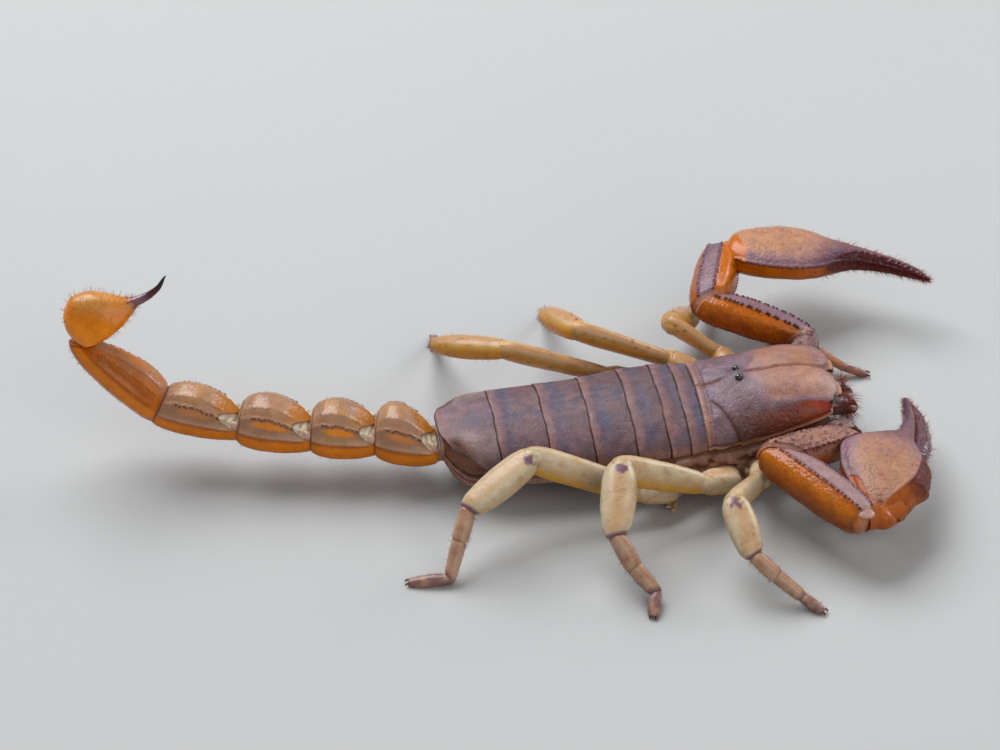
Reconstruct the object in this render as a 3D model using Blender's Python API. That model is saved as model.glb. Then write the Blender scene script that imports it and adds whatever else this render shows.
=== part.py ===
"""A desert scorpion, Opistophthalmus glabrifrons, life size, standing low with its sting raised.

Every length below is in millimetres; the meshes are written in metres. +X is the way the head
points, +Y the animal's left, +Z up. The trunk's mid plane is y = 0 and the soles lie at z = 0.
build() then moves the whole animal so that its bounding box is centred on the origin.
"""

import bpy
import numpy as np

MM = 0.001
GAP = 0.3  # clear space between neighbouring plates and segments
FACE_DOWN = 1 / 16  # turn that brings one face of an eight-sided section to the bottom

# Trunk stations from tail to head: x, half width, top of the arch, height of its side margins.
TRUNK = (
    (-9.6, 3.3, 7.8, 5.1),
    (-8.4, 4.6, 8.4, 5.2),
    (-6.0, 5.9, 8.8, 5.3),
    (-2.7, 6.8, 9.1, 5.4),
    (2.7, 7.4, 9.3, 5.5),
    (7.4, 7.8, 9.4, 5.6),
    (12.2, 8.1, 9.5, 5.8),
    (16.0, 8.2, 9.6, 6.1),
    (18.4, 8.2, 9.6, 6.3),
    (20.4, 8.2, 9.7, 6.5),
)
TERGITE_EDGES = (20.1, 18.2, 15.9, 12.3, 7.7, 2.8, -2.7, -8.9)  # the seams, from head to tail
TERGITE_THICK = 0.8
TERGITE_STEP = 0.25  # how far each rear rim stands over the plate behind it
ARCH_POWER = 2.2
BELLY_LOW = 1.1

# Carapace stations: x, half width, top, margin height, depth of the groove between the lobes.
CARAPACE = (
    (20.3, 8.1, 9.8, 6.5, 0.0),
    (22.0, 8.3, 10.3, 6.3, 0.1),
    (24.6, 7.9, 10.8, 6.2, 0.0),
    (27.5, 7.3, 10.8, 6.4, 0.35),
    (30.5, 6.7, 10.5, 6.8, 0.35),
    (33.2, 6.1, 9.9, 7.2, 0.35),
    (35.0, 5.4, 9.1, 7.5, 0.45),
    (35.9, 4.6, 8.5, 7.7, 0.5),
)
CARAPACE_THICK = 0.9
FRONT_NOTCH = 0.8  # how far the middle of the front edge is set back
EYE_X, EYE_SIDE, EYE_RADIUS = 24.6, 0.8, 0.5

# Tail joints from the trunk to the sting's bulb, then each segment's half width.
TAIL_JOINTS = (
    (-9.2, 0.5, 5.1),
    (-15.2, 2.4, 5.5),
    (-22.2, 3.8, 5.8),
    (-29.9, 5.8, 6.4),
    (-38.6, 8.9, 7.5),
    (-46.5, 12.0, 14.8),
)
TRUNK_END = (-4.2, 2.1, 5.2)  # stands for the joint before the tail, and sets its first plane
TAIL_RADII = (3.15, 3.1, 3.0, 2.7, 2.45)
BULB_NECK = (-47.6, 11.9, 11.4)  # tilts the bulb's first plane towards the last segment
BULB_END = (-40.4, 12.0, 19.7)
BULB_OUT = (-0.47, 0.21, 0.81)
STING = ((-40.4, 12.0, 19.7), (-39.0, 12.0, 20.3), (-37.8, 12.0, 21.3), (-37.0, 12.0, 22.7))

# Leg joints: coxa, trochanter, start of the femur, knee, shin end, ankle, heel, toe.
LEGS = {
    "right_1": ((25.6, -1.9, 2.7), (30.0, -7.4, 3.4), (31.4, -9.2, 3.8), (33.6, -14.0, 4.2),
                (36.8, -16.0, 2.1), (38.1, -15.2, 1.6), (39.2, -14.3, 0.9), (40.6, -13.0, 0.25)),
    "right_2": ((23.2, -2.0, 2.7), (26.3, -8.9, 3.8), (25.2, -11.8, 4.8), (20.5, -19.0, 8.0),
                (21.7, -24.5, 5.0), (23.8, -26.1, 3.2), (26.4, -27.8, 1.3), (28.4, -29.4, 0.25)),
    "right_3": ((20.6, -2.0, 2.7), (21.9, -9.8, 3.6), (18.8, -11.5, 4.8), (9.1, -13.1, 9.5),
                (7.5, -20.1, 6.0), (9.0, -22.3, 3.4), (11.0, -24.5, 1.3), (10.2, -27.2, 0.25)),
    "right_4": ((18.6, -2.0, 2.7), (15.2, -9.6, 2.9), (12.2, -10.4, 3.6), (-0.1, -9.6, 9.4),
                (-7.6, -13.7, 6.5), (-8.9, -15.7, 4.0), (-10.4, -18.0, 0.8), (-14.8, -17.4, 0.25)),
    "left_1": ((25.6, 1.9, 2.7), (30.0, 7.4, 3.4), (31.2, 9.2, 3.6), (32.2, 14.6, 3.6),
               (36.2, 13.2, 2.7), (38.2, 11.9, 1.9), (40.2, 10.6, 1.1), (42.6, 10.1, 0.25)),
    "left_2": ((23.2, 2.0, 2.7), (26.3, 8.9, 3.8), (25.4, 11.2, 4.5), (20.6, 15.1, 6.6),
               (24.0, 20.3, 3.5), (25.9, 23.3, 2.8), (27.4, 26.4, 1.2), (28.4, 28.8, 0.25)),
    "left_3": ((20.6, 2.0, 2.7), (22.0, 9.6, 3.6), (19.4, 11.2, 4.6), (9.1, 12.1, 9.3),
               (6.5, 18.2, 7.4), (7.0, 21.4, 4.9), (7.6, 24.8, 2.1), (8.0, 27.2, 0.25)),
    "left_4": ((18.6, 2.0, 2.7), (15.2, 9.6, 2.9), (12.4, 10.4, 3.8), (0.5, 10.7, 8.8),
               (-6.6, 16.0, 6.4), (-6.2, 19.0, 4.1), (-5.8, 22.2, 1.6), (-5.5, 25.2, 0.25)),
}
COXA_HALF = {"1": 1.3, "2": 1.75, "3": 2.05, "4": 2.5}
FEMUR_HALF = {"1": 1.1, "2": 1.4, "3": 1.7, "4": 1.7}
FEMUR_LEAN = 0.6  # the upper edge of each thigh leans in over the trunk
SHIN_HALF = {"1": 1.15, "2": 1.65, "3": 1.9, "4": 1.8}

# Pedipalp joints: coxa, trochanter, femur start, elbow, wrist, root of the hand, finger tips.
PALPS = {
    "right": ((31.0, -3.4, 4.4), (34.2, -6.2, 5.6), (35.6, -7.8, 6.2), (27.0, -11.9, 7.6),
              (34.4, -23.2, 6.6), (35.3, -21.6, 6.6), (43.6, -0.9, 4.4)),
    "left": ((31.0, 3.4, 4.4), (34.2, 7.2, 5.6), (35.0, 10.2, 6.4), (24.4, 16.2, 8.0),
             (28.5, 26.0, 8.0), (29.9, 27.1, 8.0), (50.6, 17.8, 7.1)),
}
PALP_UPS = {
    "right": {"femur": (0.0, -0.25, 1.0), "patella": (0.0, 0.1, 1.0), "hand": (0.1, -0.1, 1.0)},
    "left": {"femur": (0.0, 0.1, 1.0), "patella": (-0.1, 0.0, 1.0), "hand": (0.0, 0.2, 1.0)},
}

SHELL_BROWN = (0.26, 0.12, 0.07, 1.0)
SLATE = (0.23, 0.16, 0.16, 1.0)
AMBER = (0.55, 0.22, 0.05, 1.0)
CREAM = (0.68, 0.46, 0.2, 1.0)
MAROON = (0.14, 0.03, 0.02, 1.0)
BLACK = (0.01, 0.01, 0.012, 1.0)


def vec(values):
    return np.array(values, dtype=float)


def unit(values):
    values = vec(values)
    return values / np.linalg.norm(values)


def superellipse(sides, power, turn=0.0):
    """Points of a rounded-square outline, as (sideways, up) from -1 to 1."""
    angle = 2.0 * np.pi * (np.arange(sides) / sides + turn)
    cos, sin = np.cos(angle), np.sin(angle)
    return np.sign(cos) * np.abs(cos) ** (2 / power), np.sign(sin) * np.abs(sin) ** (2 / power)


def add_mesh(name, points, faces, colour):
    """Makes one node from points in millimetres, its faces turned outwards."""
    volume = 0.0
    for face in faces:
        corners = points[list(face)]
        for second, third in zip(corners[1:-1], corners[2:]):
            volume += corners[0] @ np.cross(second, third)
    if volume < 0:
        faces = [face[::-1] for face in faces]
    mesh = bpy.data.meshes.new(name)
    mesh.from_pydata((points * MM).tolist(), [], faces)
    mesh.shade_smooth()
    material = bpy.data.materials.new(name + "_cuticle")
    material.use_nodes = True
    shader = material.node_tree.nodes["Principled BSDF"]
    shader.inputs["Base Color"].default_value = colour
    shader.inputs["Roughness"].default_value = 0.35
    mesh.materials.append(material)
    made = bpy.data.objects.new(name, mesh)
    bpy.context.scene.collection.objects.link(made)
    return made


def add_tube(name, rings, colour):
    """Closed skin over a row of rings, each end closed by a fan round its own middle."""
    rings = [vec(ring) for ring in rings]
    sides = len(rings[0])
    points = np.concatenate(rings + [[rings[0].mean(axis=0)], [rings[-1].mean(axis=0)]])
    faces = []
    for row in range(len(rings) - 1):
        for side in range(sides):
            after = (side + 1) % sides
            low, high = row * sides, (row + 1) * sides
            faces.append((low + side, low + after, high + after, high + side))
    first, last = len(points) - 2, len(points) - 1
    end = (len(rings) - 1) * sides
    for side in range(sides):
        after = (side + 1) % sides
        faces.append((first, after, side))
        faces.append((last, end + side, end + after))
    return add_mesh(name, points, faces, colour)


def add_arch(name, outer, inner, colour):
    """Closed curved plate between two grids of points of the same shape."""
    rows, columns = outer.shape[:2]
    points = np.concatenate([outer.reshape(-1, 3), inner.reshape(-1, 3)])
    below = rows * columns
    faces = []
    for row in range(rows - 1):
        for column in range(columns - 1):
            a = row * columns + column
            b, c, d = a + 1, a + columns + 1, a + columns
            faces.append((a, b, c, d))
            faces.append((below + d, below + c, below + b, below + a))
    rim = [(0, column) for column in range(columns)]
    rim += [(row, columns - 1) for row in range(1, rows)]
    rim += [(rows - 1, column) for column in range(columns - 2, -1, -1)]
    rim += [(row, 0) for row in range(rows - 2, 0, -1)]
    index = [row * columns + column for row, column in rim]
    for here, after in zip(index, index[1:] + index[:1]):
        faces.append((after, here, below + here, below + after))
    return add_mesh(name, points, faces, colour)


def segment_rings(start, end, up, profile, before=None, after=None, sides=8, power=2.3,
                  gap=GAP, turn=0.0):
    """Rings of one limb segment between two joints.

    profile rows are (fraction of the length, half width, top, bottom), with a sideways shift and
    a lift after them where the section leaves the axis. The end rings lie in the planes that
    halve the bend at each joint, and so keep clear of the segment beyond. before and after are
    the neighbouring joints.
    """
    start, end = vec(start), vec(end)
    axis = unit(end - start)
    side = unit(np.cross(up, axis))
    up = np.cross(axis, side)
    length = np.linalg.norm(end - start)
    first = axis if before is None else unit(unit(start - vec(before)) + axis)
    last = axis if after is None else unit(unit(vec(after) - end) + axis)
    across, over = superellipse(sides, power, turn)
    rings = []
    for fraction, width, top, bottom, *moved in profile:
        shift, lift = moved or (0.0, 0.0)
        height = np.where(over > 0, top, bottom) * over + lift
        offset = np.outer(width * across + shift, side) + np.outer(height, up)
        begin = gap / 2 - offset @ first / (axis @ first)
        finish = length - gap / 2 - offset @ last / (axis @ last)
        along = begin + (finish - begin) * fraction
        rings.append(start + offset + np.outer(along, axis))
    return rings


def bulging(half, rows):
    """Profile rows from (fraction, relative width, relative top, relative bottom)."""
    return [(f, half * w, half * t, half * b) for f, w, t, b in rows]


# --- trunk ---------------------------------------------------------------------------------------

def trunk_at(x):
    """Half width, top and margin height of the trunk at one station."""
    table = vec(TRUNK)
    return [np.interp(x, table[:, 0], table[:, i]) for i in (1, 2, 3)]


def arch_points(x, width, top, margin, columns=11, groove=0.0):
    """One row across a plate, from the right margin over the back to the left margin."""
    angle = np.linspace(np.pi, 0.0, columns)
    cos, sin = np.cos(angle), np.sin(angle)
    across = np.sign(cos) * np.abs(cos) ** (2 / ARCH_POWER)
    over = np.abs(sin) ** (2 / ARCH_POWER)
    height = margin + (top - margin) * over - groove * np.exp(-(across / 0.16) ** 2)
    return np.stack([np.full(columns, x), width * across, height], axis=1)


def add_tergites():
    for number in range(7):
        front, rear = TERGITE_EDGES[number], TERGITE_EDGES[number + 1]
        stations = np.linspace(front - GAP / 2, rear + GAP / 2, 4 if number < 5 else 5)
        outer, inner = [], []
        for step, x in enumerate(stations):
            width, top, margin = trunk_at(x)
            lift = TERGITE_STEP * step / (len(stations) - 1) if number < 6 else 0.0
            outer.append(arch_points(x, width, top + lift, margin))
            inner.append(arch_points(x, width - TERGITE_THICK, top - TERGITE_THICK, margin))
        add_arch(f"tergite_{number + 1}", vec(outer), vec(inner), SLATE)


def add_belly():
    """The soft body and the belly plates, one solid that fills the space under the tergites."""
    rings = []
    for x in (-8.7, -7.6, -5.6, -2.7, 2.7, 7.4, 11.0, 13.2):
        width, top, margin = trunk_at(x)
        room = TERGITE_THICK + GAP
        over = arch_points(x, width - room, top - room, margin, columns=9)
        low = BELLY_LOW + 0.9 * np.clip((-6.0 - x) / 4.0, 0.0, 1.0)
        angle = np.linspace(0.0, np.pi, 9)[1:-1]
        cos, sin = np.cos(angle), np.sin(angle)
        across = np.sign(cos) * np.abs(cos) ** (2 / 2.6) * (width - 0.3)
        under = margin - GAP - (margin - GAP - low) * np.abs(sin) ** (2 / 2.6)
        lower = np.stack([np.full(len(across), x), across, under], axis=1)
        rings.append(np.concatenate([over, lower]))
    add_tube("belly", rings, CREAM)


def add_carapace():
    outer, inner = [], []
    last = len(CARAPACE) - 1
    for number, (x, width, top, margin, groove) in enumerate(CARAPACE):
        row = arch_points(x, width, top, margin, columns=15, groove=groove)
        under = arch_points(x, width - CARAPACE_THICK, top - CARAPACE_THICK - groove, margin,
                            columns=15)
        if number == last:
            row[:, 0] -= FRONT_NOTCH * np.exp(-(row[:, 1] / 1.4) ** 2)
            under[:, 0] = row[:, 0]
        outer.append(row)
        inner.append(under)
    add_arch("carapace", vec(outer), vec(inner), SHELL_BROWN)


def carapace_top(x):
    table = vec(CARAPACE)
    return np.interp(x, table[:, 0], table[:, 2])


def add_prosoma_core():
    """The body under the carapace, down to the roots of the legs, with its soft bulging sides."""
    rings = []
    for x, low, inset, flank in ((13.6, 4.4, 0.9, 4.9), (17.0, 4.4, 0.3, 4.9), (20.2, 4.4, 0.0, 4.9),
                                 (24.6, 4.5, 0.0, 5.0), (28.2, 5.2, 0.4, 5.6),
                                 (29.8, 6.7, 1.1, 6.8), (34.0, 7.0, 1.9, 7.2)):
        table = vec(TRUNK if x < CARAPACE[0][0] else CARAPACE)
        width, top, margin = (np.interp(x, table[:, 0], table[:, i]) for i in (1, 2, 3))
        room = CARAPACE_THICK + GAP + 0.1
        over = arch_points(x, width - room - inset, top - room - 0.8, margin - 0.2, columns=9)
        brink = margin - 0.45
        flank, low = min(flank, brink - 0.1), min(low, brink - 0.2)
        half = [(width - 0.5 - inset, brink), (width - 0.6 - inset, flank), (width - 2.2, low)]
        lower = [(x, y, z) for y, z in half] + [(x, 0.0, low)]
        lower += [(x, -y, z) for y, z in reversed(half)]
        rings.append(np.concatenate([over, lower]))
    add_tube("prosoma_core", rings, CREAM)


def add_sternum():
    """The plates between the roots of the legs, on the midline of the underside."""
    rings = []
    for x, half, low, top in ((13.7, 0.9, 1.9, 4.0), (17.0, 1.4, 1.7, 4.1), (24.6, 1.4, 1.6, 4.2),
                              (28.2, 1.4, 2.0, 4.6), (31.6, 1.0, 3.0, 4.7)):
        across, over = superellipse(10, 2.6)
        middle, tall = (top + low) / 2, (top - low) / 2
        rings.append(np.stack([np.full(10, x), half * across, middle + tall * over], axis=1))
    add_tube("sternum", rings, CREAM)


def add_eyes():
    for name, side in (("right", -1), ("left", 1)):
        height = carapace_top(EYE_X) + GAP
        rings = []
        for low, wide in ((0.0, 1.0), (0.35, 0.9), (0.55, 0.6)):
            angle = 2 * np.pi * np.arange(8) / 8
            rings.append(np.stack([
                EYE_X + EYE_RADIUS * wide * np.cos(angle),
                side * EYE_SIDE + EYE_RADIUS * wide * np.sin(angle),
                np.full(8, height + EYE_RADIUS * low),
            ], axis=1))
        add_tube(f"eye_{name}", rings, BLACK)


# --- tail ----------------------------------------------------------------------------------------

TAIL_ROWS = (
    (0.0, 0.74, 0.62, 0.78), (0.1, 0.88, 0.78, 0.86), (0.35, 1.0, 0.94, 0.94),
    (0.68, 1.03, 1.12, 0.94), (0.88, 1.0, 1.16, 0.9), (0.97, 0.94, 1.06, 0.84),
    (1.0, 0.86, 0.9, 0.78),
)
LAST_ROWS = (
    (0.0, 0.82, 0.78, 0.86), (0.12, 0.98, 1.0, 0.98), (0.38, 1.06, 1.1, 1.02),
    (0.66, 0.98, 0.94, 0.92), (0.88, 0.8, 0.68, 0.7), (1.0, 0.6, 0.48, 0.5),
)


def add_tail():
    joints = TAIL_JOINTS
    for number in range(5):
        before = joints[number - 1] if number else TRUNK_END
        after = joints[number + 2] if number < 4 else BULB_END
        up = (0.0, 0.0, 1.0) if number < 4 else (0.62, -0.1, 0.78)
        rows = TAIL_ROWS if number < 4 else LAST_ROWS
        rings = segment_rings(joints[number], joints[number + 1], up,
                              bulging(TAIL_RADII[number], rows), before, after,
                              sides=10, power=2.5)
        add_tube(f"tail_{number + 1}", rings, AMBER)


def add_sting():
    rows = (
        (0.0, 1.2, 1.6, 0.3), (0.1, 1.9, 3.0, 0.6), (0.26, 2.4, 4.3, 0.9), (0.44, 2.5, 4.9, 1.1),
        (0.62, 2.2, 4.3, 1.1), (0.8, 1.5, 2.5, 0.9), (0.93, 0.9, 1.1, 0.65), (1.0, 0.6, 0.6, 0.55),
    )
    add_tube("bulb", segment_rings(TAIL_JOINTS[-1], BULB_END, BULB_OUT, rows,
                                   before=BULB_NECK, sides=10), AMBER)
    rings = []
    for number, half in ((0, 0.55), (1, 0.46), (2, 0.36)):
        before = STING[number - 1] if number else None
        after = STING[number + 2] if number < 2 else None
        both = segment_rings(STING[number], STING[number + 1], BULB_OUT,
                             [(0.0, half, half, half),
                              (1.0, half - 0.12, half - 0.12, half - 0.12)],
                             before, after, sides=6, power=2.0, gap=GAP if number == 0 else 0.0)
        rings += both if number == 0 else both[1:]
    add_tube("sting", rings, MAROON)


# --- legs ----------------------------------------------------------------------------------------

def add_leg(name, joints):
    coxa, trochanter, femur, knee, shin, ankle, heel, toe = joints
    thick, wide = FEMUR_HALF[name[-1]], COXA_HALF[name[-1]]
    up = (0.0, 0.0, 1.0)
    rings = segment_rings(coxa, trochanter, up,
                          [(0.0, 0.8, 0.8, 0.8), (0.45, wide * 0.75, 1.2, 1.2),
                           (0.8, wide, 1.3, 1.3), (1.0, 1.4, 1.3, 1.3)], None, femur)
    rings += segment_rings(trochanter, femur, up, [(1.0, 1.15, 1.2, 1.2)],
                           coxa, knee, gap=0.0)
    lean = (0.0, FEMUR_LEAN if name.startswith("right") else -FEMUR_LEAN, 1.0)
    rings += segment_rings(femur, knee, lean,
                           bulging(thick, ((0.1, 0.5, 0.72, 0.7), (0.4, 0.52, 0.92, 0.9),
                                           (0.75, 0.58, 1.0, 0.96), (1.0, 0.6, 0.78, 0.68))),
                           trochanter, shin)
    add_tube(f"leg_{name}_thigh", rings, CREAM)
    thick = SHIN_HALF[name[-1]]
    rings = segment_rings(knee, shin, up,
                          bulging(thick, ((0.0, 0.76, 0.62, 0.62), (0.15, 0.95, 0.78, 0.78),
                                          (0.5, 1.03, 0.84, 0.86), (0.85, 0.88, 0.74, 0.76),
                                          (1.0, 0.56, 0.5, 0.5))), femur, ankle)
    add_tube(f"leg_{name}_shin", rings, CREAM)
    half = 0.52 * thick
    rings = segment_rings(shin, ankle, up,
                          bulging(half, ((0.0, 0.9, 1.0, 0.9), (0.6, 1.0, 1.1, 1.0),
                                         (1.0, 0.85, 0.9, 0.85))), knee, heel, turn=FACE_DOWN)
    rings += segment_rings(ankle, heel, up,
                           bulging(half, ((0.5, 0.85, 0.9, 0.85), (1.0, 0.7, 0.75, 0.7))),
                           shin, toe, gap=0.0, turn=FACE_DOWN)
    rings += segment_rings(heel, toe, up,
                           bulging(half, ((0.3, 0.72, 0.75, 0.7), (0.8, 0.66, 0.6, 0.85),
                                          (1.0, 0.5, 0.45, 0.6))),
                           ankle, gap=0.0, turn=FACE_DOWN)
    for ring in rings:
        ring[:, 2] = np.maximum(ring[:, 2], 0.0)
    add_tube(f"leg_{name}_foot", rings, CREAM)


# --- pedipalps -----------------------------------------------------------------------------------

HAND_ROWS = (
    # distance along the hand, half width, top, bottom, shift to the outer side
    (0.0, 1.2, 1.2, 1.2, 0.3), (1.2, 2.2, 1.7, 1.7, 0.5), (3.2, 3.8, 2.1, 2.0, 0.5),
    (5.4, 4.9, 2.2, 2.1, 0.3), (8.4, 5.15, 2.2, 2.1, 0.2), (10.4, 4.2, 2.1, 1.9, -0.3),
    (12.0, 2.9, 1.9, 1.7, 0.3), (13.2, 1.7, 1.7, 1.4, 1.0), (14.8, 1.1, 1.5, 1.0, 1.5),
    (17.5, 0.9, 1.25, 0.7, 1.4), (20.5, 0.7, 0.9, 0.55, 1.1), (22.6, 0.42, 0.5, 0.4, 0.65),
    (23.6, 0.25, 0.25, 0.25, 0.35),
)
FINGER_ROWS = (
    (11.2, 0.7, 1.1, 1.3, 4.3), (12.6, 0.9, 1.1, 1.6, 4.0), (14.8, 0.8, 0.9, 1.5, 3.75),
    (17.8, 0.75, 0.7, 1.2, 3.4), (20.6, 0.65, 0.5, 0.9, 2.7), (22.4, 0.42, 0.35, 0.5, 1.9),
    (23.3, 0.25, 0.2, 0.3, 1.35),
)
HAND_ARCH = {"right": 1.1, "left": 0.0}  # how far the knuckles rise over the wrist and the tips
HAND_TUCK = {"right": (2.3, -0.2), "left": (0.0, 0.0)}  # outward shift at the wrist, at the palm


def hand_rings(name, root, tip, rows, sides):
    """Sections of the hand or of its moving finger, measured from the root of the hand."""
    outward = -1 if name == "right" else 1
    length = np.linalg.norm(vec(tip) - vec(root))
    wrist, palm = HAND_TUCK[name]
    moved = []
    for x, width, top, bottom, shift in rows:
        shift += wrist * np.exp(-((x / 3.5) ** 2)) + palm * np.exp(-(((x - 8.5) / 3.5) ** 2))
        rise = HAND_ARCH[name] * np.sin(np.pi * x / length)
        moved.append((x / length, width, top, bottom, shift * outward, rise))
    return segment_rings(root, tip, PALP_UPS[name]["hand"], moved, sides=sides, power=2.2)


def add_palp(name, joints):
    coxa, trochanter, femur, elbow, wrist, root, tip = joints
    ups = PALP_UPS[name]
    up = (0.0, 0.0, 1.0)
    rings = segment_rings(coxa, trochanter, up,
                          [(0.0, 1.5, 1.2, 1.4), (1.0, 1.7, 1.7, 1.7)], None, femur)
    rings += segment_rings(trochanter, femur, up,
                           [(0.6, 1.7, 1.7, 1.7), (1.0, 1.2, 1.2, 1.2)], coxa, elbow)
    add_tube(f"palp_{name}_trochanter", rings, SHELL_BROWN)
    add_tube(f"palp_{name}_femur",
             segment_rings(femur, elbow, ups["femur"],
                           bulging(2.0, ((0.0, 0.62, 0.6, 0.6), (0.12, 0.9, 0.85, 0.85),
                                         (0.45, 1.05, 0.98, 0.95), (0.8, 1.05, 1.0, 0.95),
                                         (1.0, 0.8, 0.8, 0.75))),
                           trochanter, wrist, power=2.8), AMBER)
    add_tube(f"palp_{name}_patella",
             segment_rings(elbow, wrist, ups["patella"],
                           bulging(2.3, ((0.0, 0.66, 0.66, 0.66), (0.12, 0.95, 0.9, 0.9),
                                         (0.4, 1.06, 1.02, 1.0), (0.7, 1.0, 1.0, 0.98),
                                         (0.9, 0.84, 0.88, 0.88), (1.0, 0.58, 0.62, 0.62))),
                           femur, power=2.8), AMBER)
    add_tube(f"palp_{name}_hand",
             hand_rings(name, root, tip, HAND_ROWS, 12), AMBER)
    add_tube(f"palp_{name}_finger",
             hand_rings(name, root, tip, FINGER_ROWS, 8), MAROON)


def add_chelicerae():
    for name, side in (("right", -1), ("left", 1)):
        rings = segment_rings((34.2, side * 1.7, 6.4), (38.2, side * 1.5, 5.4), (0, 0, 1),
                              [(0.0, 1.1, 0.9, 1.0), (0.35, 1.3, 1.1, 1.2),
                               (0.7, 1.1, 0.9, 1.0), (1.0, 0.5, 0.4, 0.5)])
        add_tube(f"chelicera_{name}", rings, MAROON)


def add_pectines():
    for name, side in (("right", -1), ("left", 1)):
        rings = segment_rings((18.6, side * 1.2, 1.1), (15.8, side * 10.6, 0.7), (0, 0, 1),
                              [(0.0, 0.9, 0.3, 0.3), (0.5, 1.2, 0.3, 0.3),
                               (1.0, 0.6, 0.3, 0.3)], sides=6)
        add_tube(f"pecten_{name}", rings, CREAM)


def build():
    for old in list(bpy.data.objects):
        bpy.data.objects.remove(old, do_unlink=True)
    add_tergites()
    add_belly()
    add_carapace()
    add_prosoma_core()
    add_sternum()
    add_eyes()
    add_tail()
    add_sting()
    add_chelicerae()
    add_pectines()
    for name, joints in LEGS.items():
        add_leg(name, joints)
    for name, joints in PALPS.items():
        add_palp(name, joints)
    corners = np.concatenate([
        vec([vertex.co for vertex in made.data.vertices]) for made in bpy.data.objects
    ])
    middle = (corners.min(axis=0) + corners.max(axis=0)) / 2
    middle[2] = corners[:, 2].min()
    for made in bpy.data.objects:
        for vertex in made.data.vertices:
            vertex.co -= type(vertex.co)(middle)


build()
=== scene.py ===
"""The looks of the desert scorpion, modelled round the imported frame: skins, markings, bristles.

Lengths are millimetres in the animal's own frame: +X the way the head points, +Y its left, soles at
z = 0 and the trunk's mid plane at y = 0. to_frame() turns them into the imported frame's metres.
"""

import bpy
import numpy as np
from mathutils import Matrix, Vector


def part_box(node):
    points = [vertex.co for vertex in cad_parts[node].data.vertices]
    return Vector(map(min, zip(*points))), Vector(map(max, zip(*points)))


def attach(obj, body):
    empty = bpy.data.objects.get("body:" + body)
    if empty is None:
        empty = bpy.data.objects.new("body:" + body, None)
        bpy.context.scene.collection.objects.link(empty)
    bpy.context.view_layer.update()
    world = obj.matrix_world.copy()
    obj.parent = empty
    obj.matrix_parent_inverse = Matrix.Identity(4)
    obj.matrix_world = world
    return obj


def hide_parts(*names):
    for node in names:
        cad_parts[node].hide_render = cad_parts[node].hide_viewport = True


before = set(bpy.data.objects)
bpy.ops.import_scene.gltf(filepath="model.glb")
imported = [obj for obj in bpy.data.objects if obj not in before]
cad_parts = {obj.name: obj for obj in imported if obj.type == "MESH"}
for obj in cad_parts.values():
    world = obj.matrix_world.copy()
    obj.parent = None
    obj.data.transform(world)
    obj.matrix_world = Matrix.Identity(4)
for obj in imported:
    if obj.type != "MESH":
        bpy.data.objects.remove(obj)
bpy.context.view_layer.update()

MM = 0.001

# --- the animal's plan, in millimetres -----------------------------------------------------------

# Trunk stations from tail to head: x, half width, top of the arch, height of its side margins.
TRUNK = (
    (-9.6, 3.3, 7.8, 5.1), (-8.4, 4.5, 8.3, 5.2), (-6.0, 5.7, 8.6, 5.1), (-2.7, 6.5, 8.8, 5.2),
    (2.7, 6.85, 8.85, 5.1), (7.4, 7.1, 8.9, 5.1), (12.2, 7.65, 9.1, 5.5), (16.0, 7.7, 9.2, 5.75),
    (18.4, 7.5, 9.1, 5.8), (20.4, 7.2, 9.1, 5.9),
)
TERGITE_EDGES = (20.1, 18.2, 15.9, 12.3, 7.7, 2.8, -2.7, -8.9)  # the seams, from head to tail
ARCH_POWER = 2.2
BELLY_LOW = 1.1

# Head shield stations: x, half width, top, margin height.
CARAPACE = (
    (20.0, 7.0, 9.1, 5.9), (22.0, 6.95, 9.7, 5.8), (24.6, 6.8, 10.3, 5.9), (27.5, 6.7, 10.8, 6.5),
    (30.5, 6.6, 11.0, 7.3), (33.2, 6.2, 10.6, 7.9), (35.0, 5.4, 9.9, 8.3), (35.9, 4.5, 9.2, 8.4),
)
EYE_X, EYE_SIDE = 24.85, 0.8

TAIL_JOINTS = (
    (-9.2, 0.5, 5.1), (-15.2, 2.4, 5.5), (-22.2, 3.8, 5.8), (-29.9, 5.8, 6.4), (-38.6, 8.9, 7.5),
    (-46.5, 12.0, 14.8),
)
TRUNK_END = (-4.2, 2.1, 5.2)
TAIL_RADII = (3.15, 3.1, 3.0, 2.7, 2.45)
BULB_NECK = (-47.6, 11.9, 11.4)
BULB_END = (-40.4, 12.0, 19.7)
BULB_OUT = (-0.47, 0.21, 0.81)
STING = ((-40.4, 12.0, 19.7), (-39.0, 12.0, 20.3), (-37.8, 12.0, 21.3), (-37.0, 12.0, 22.7))

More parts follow.
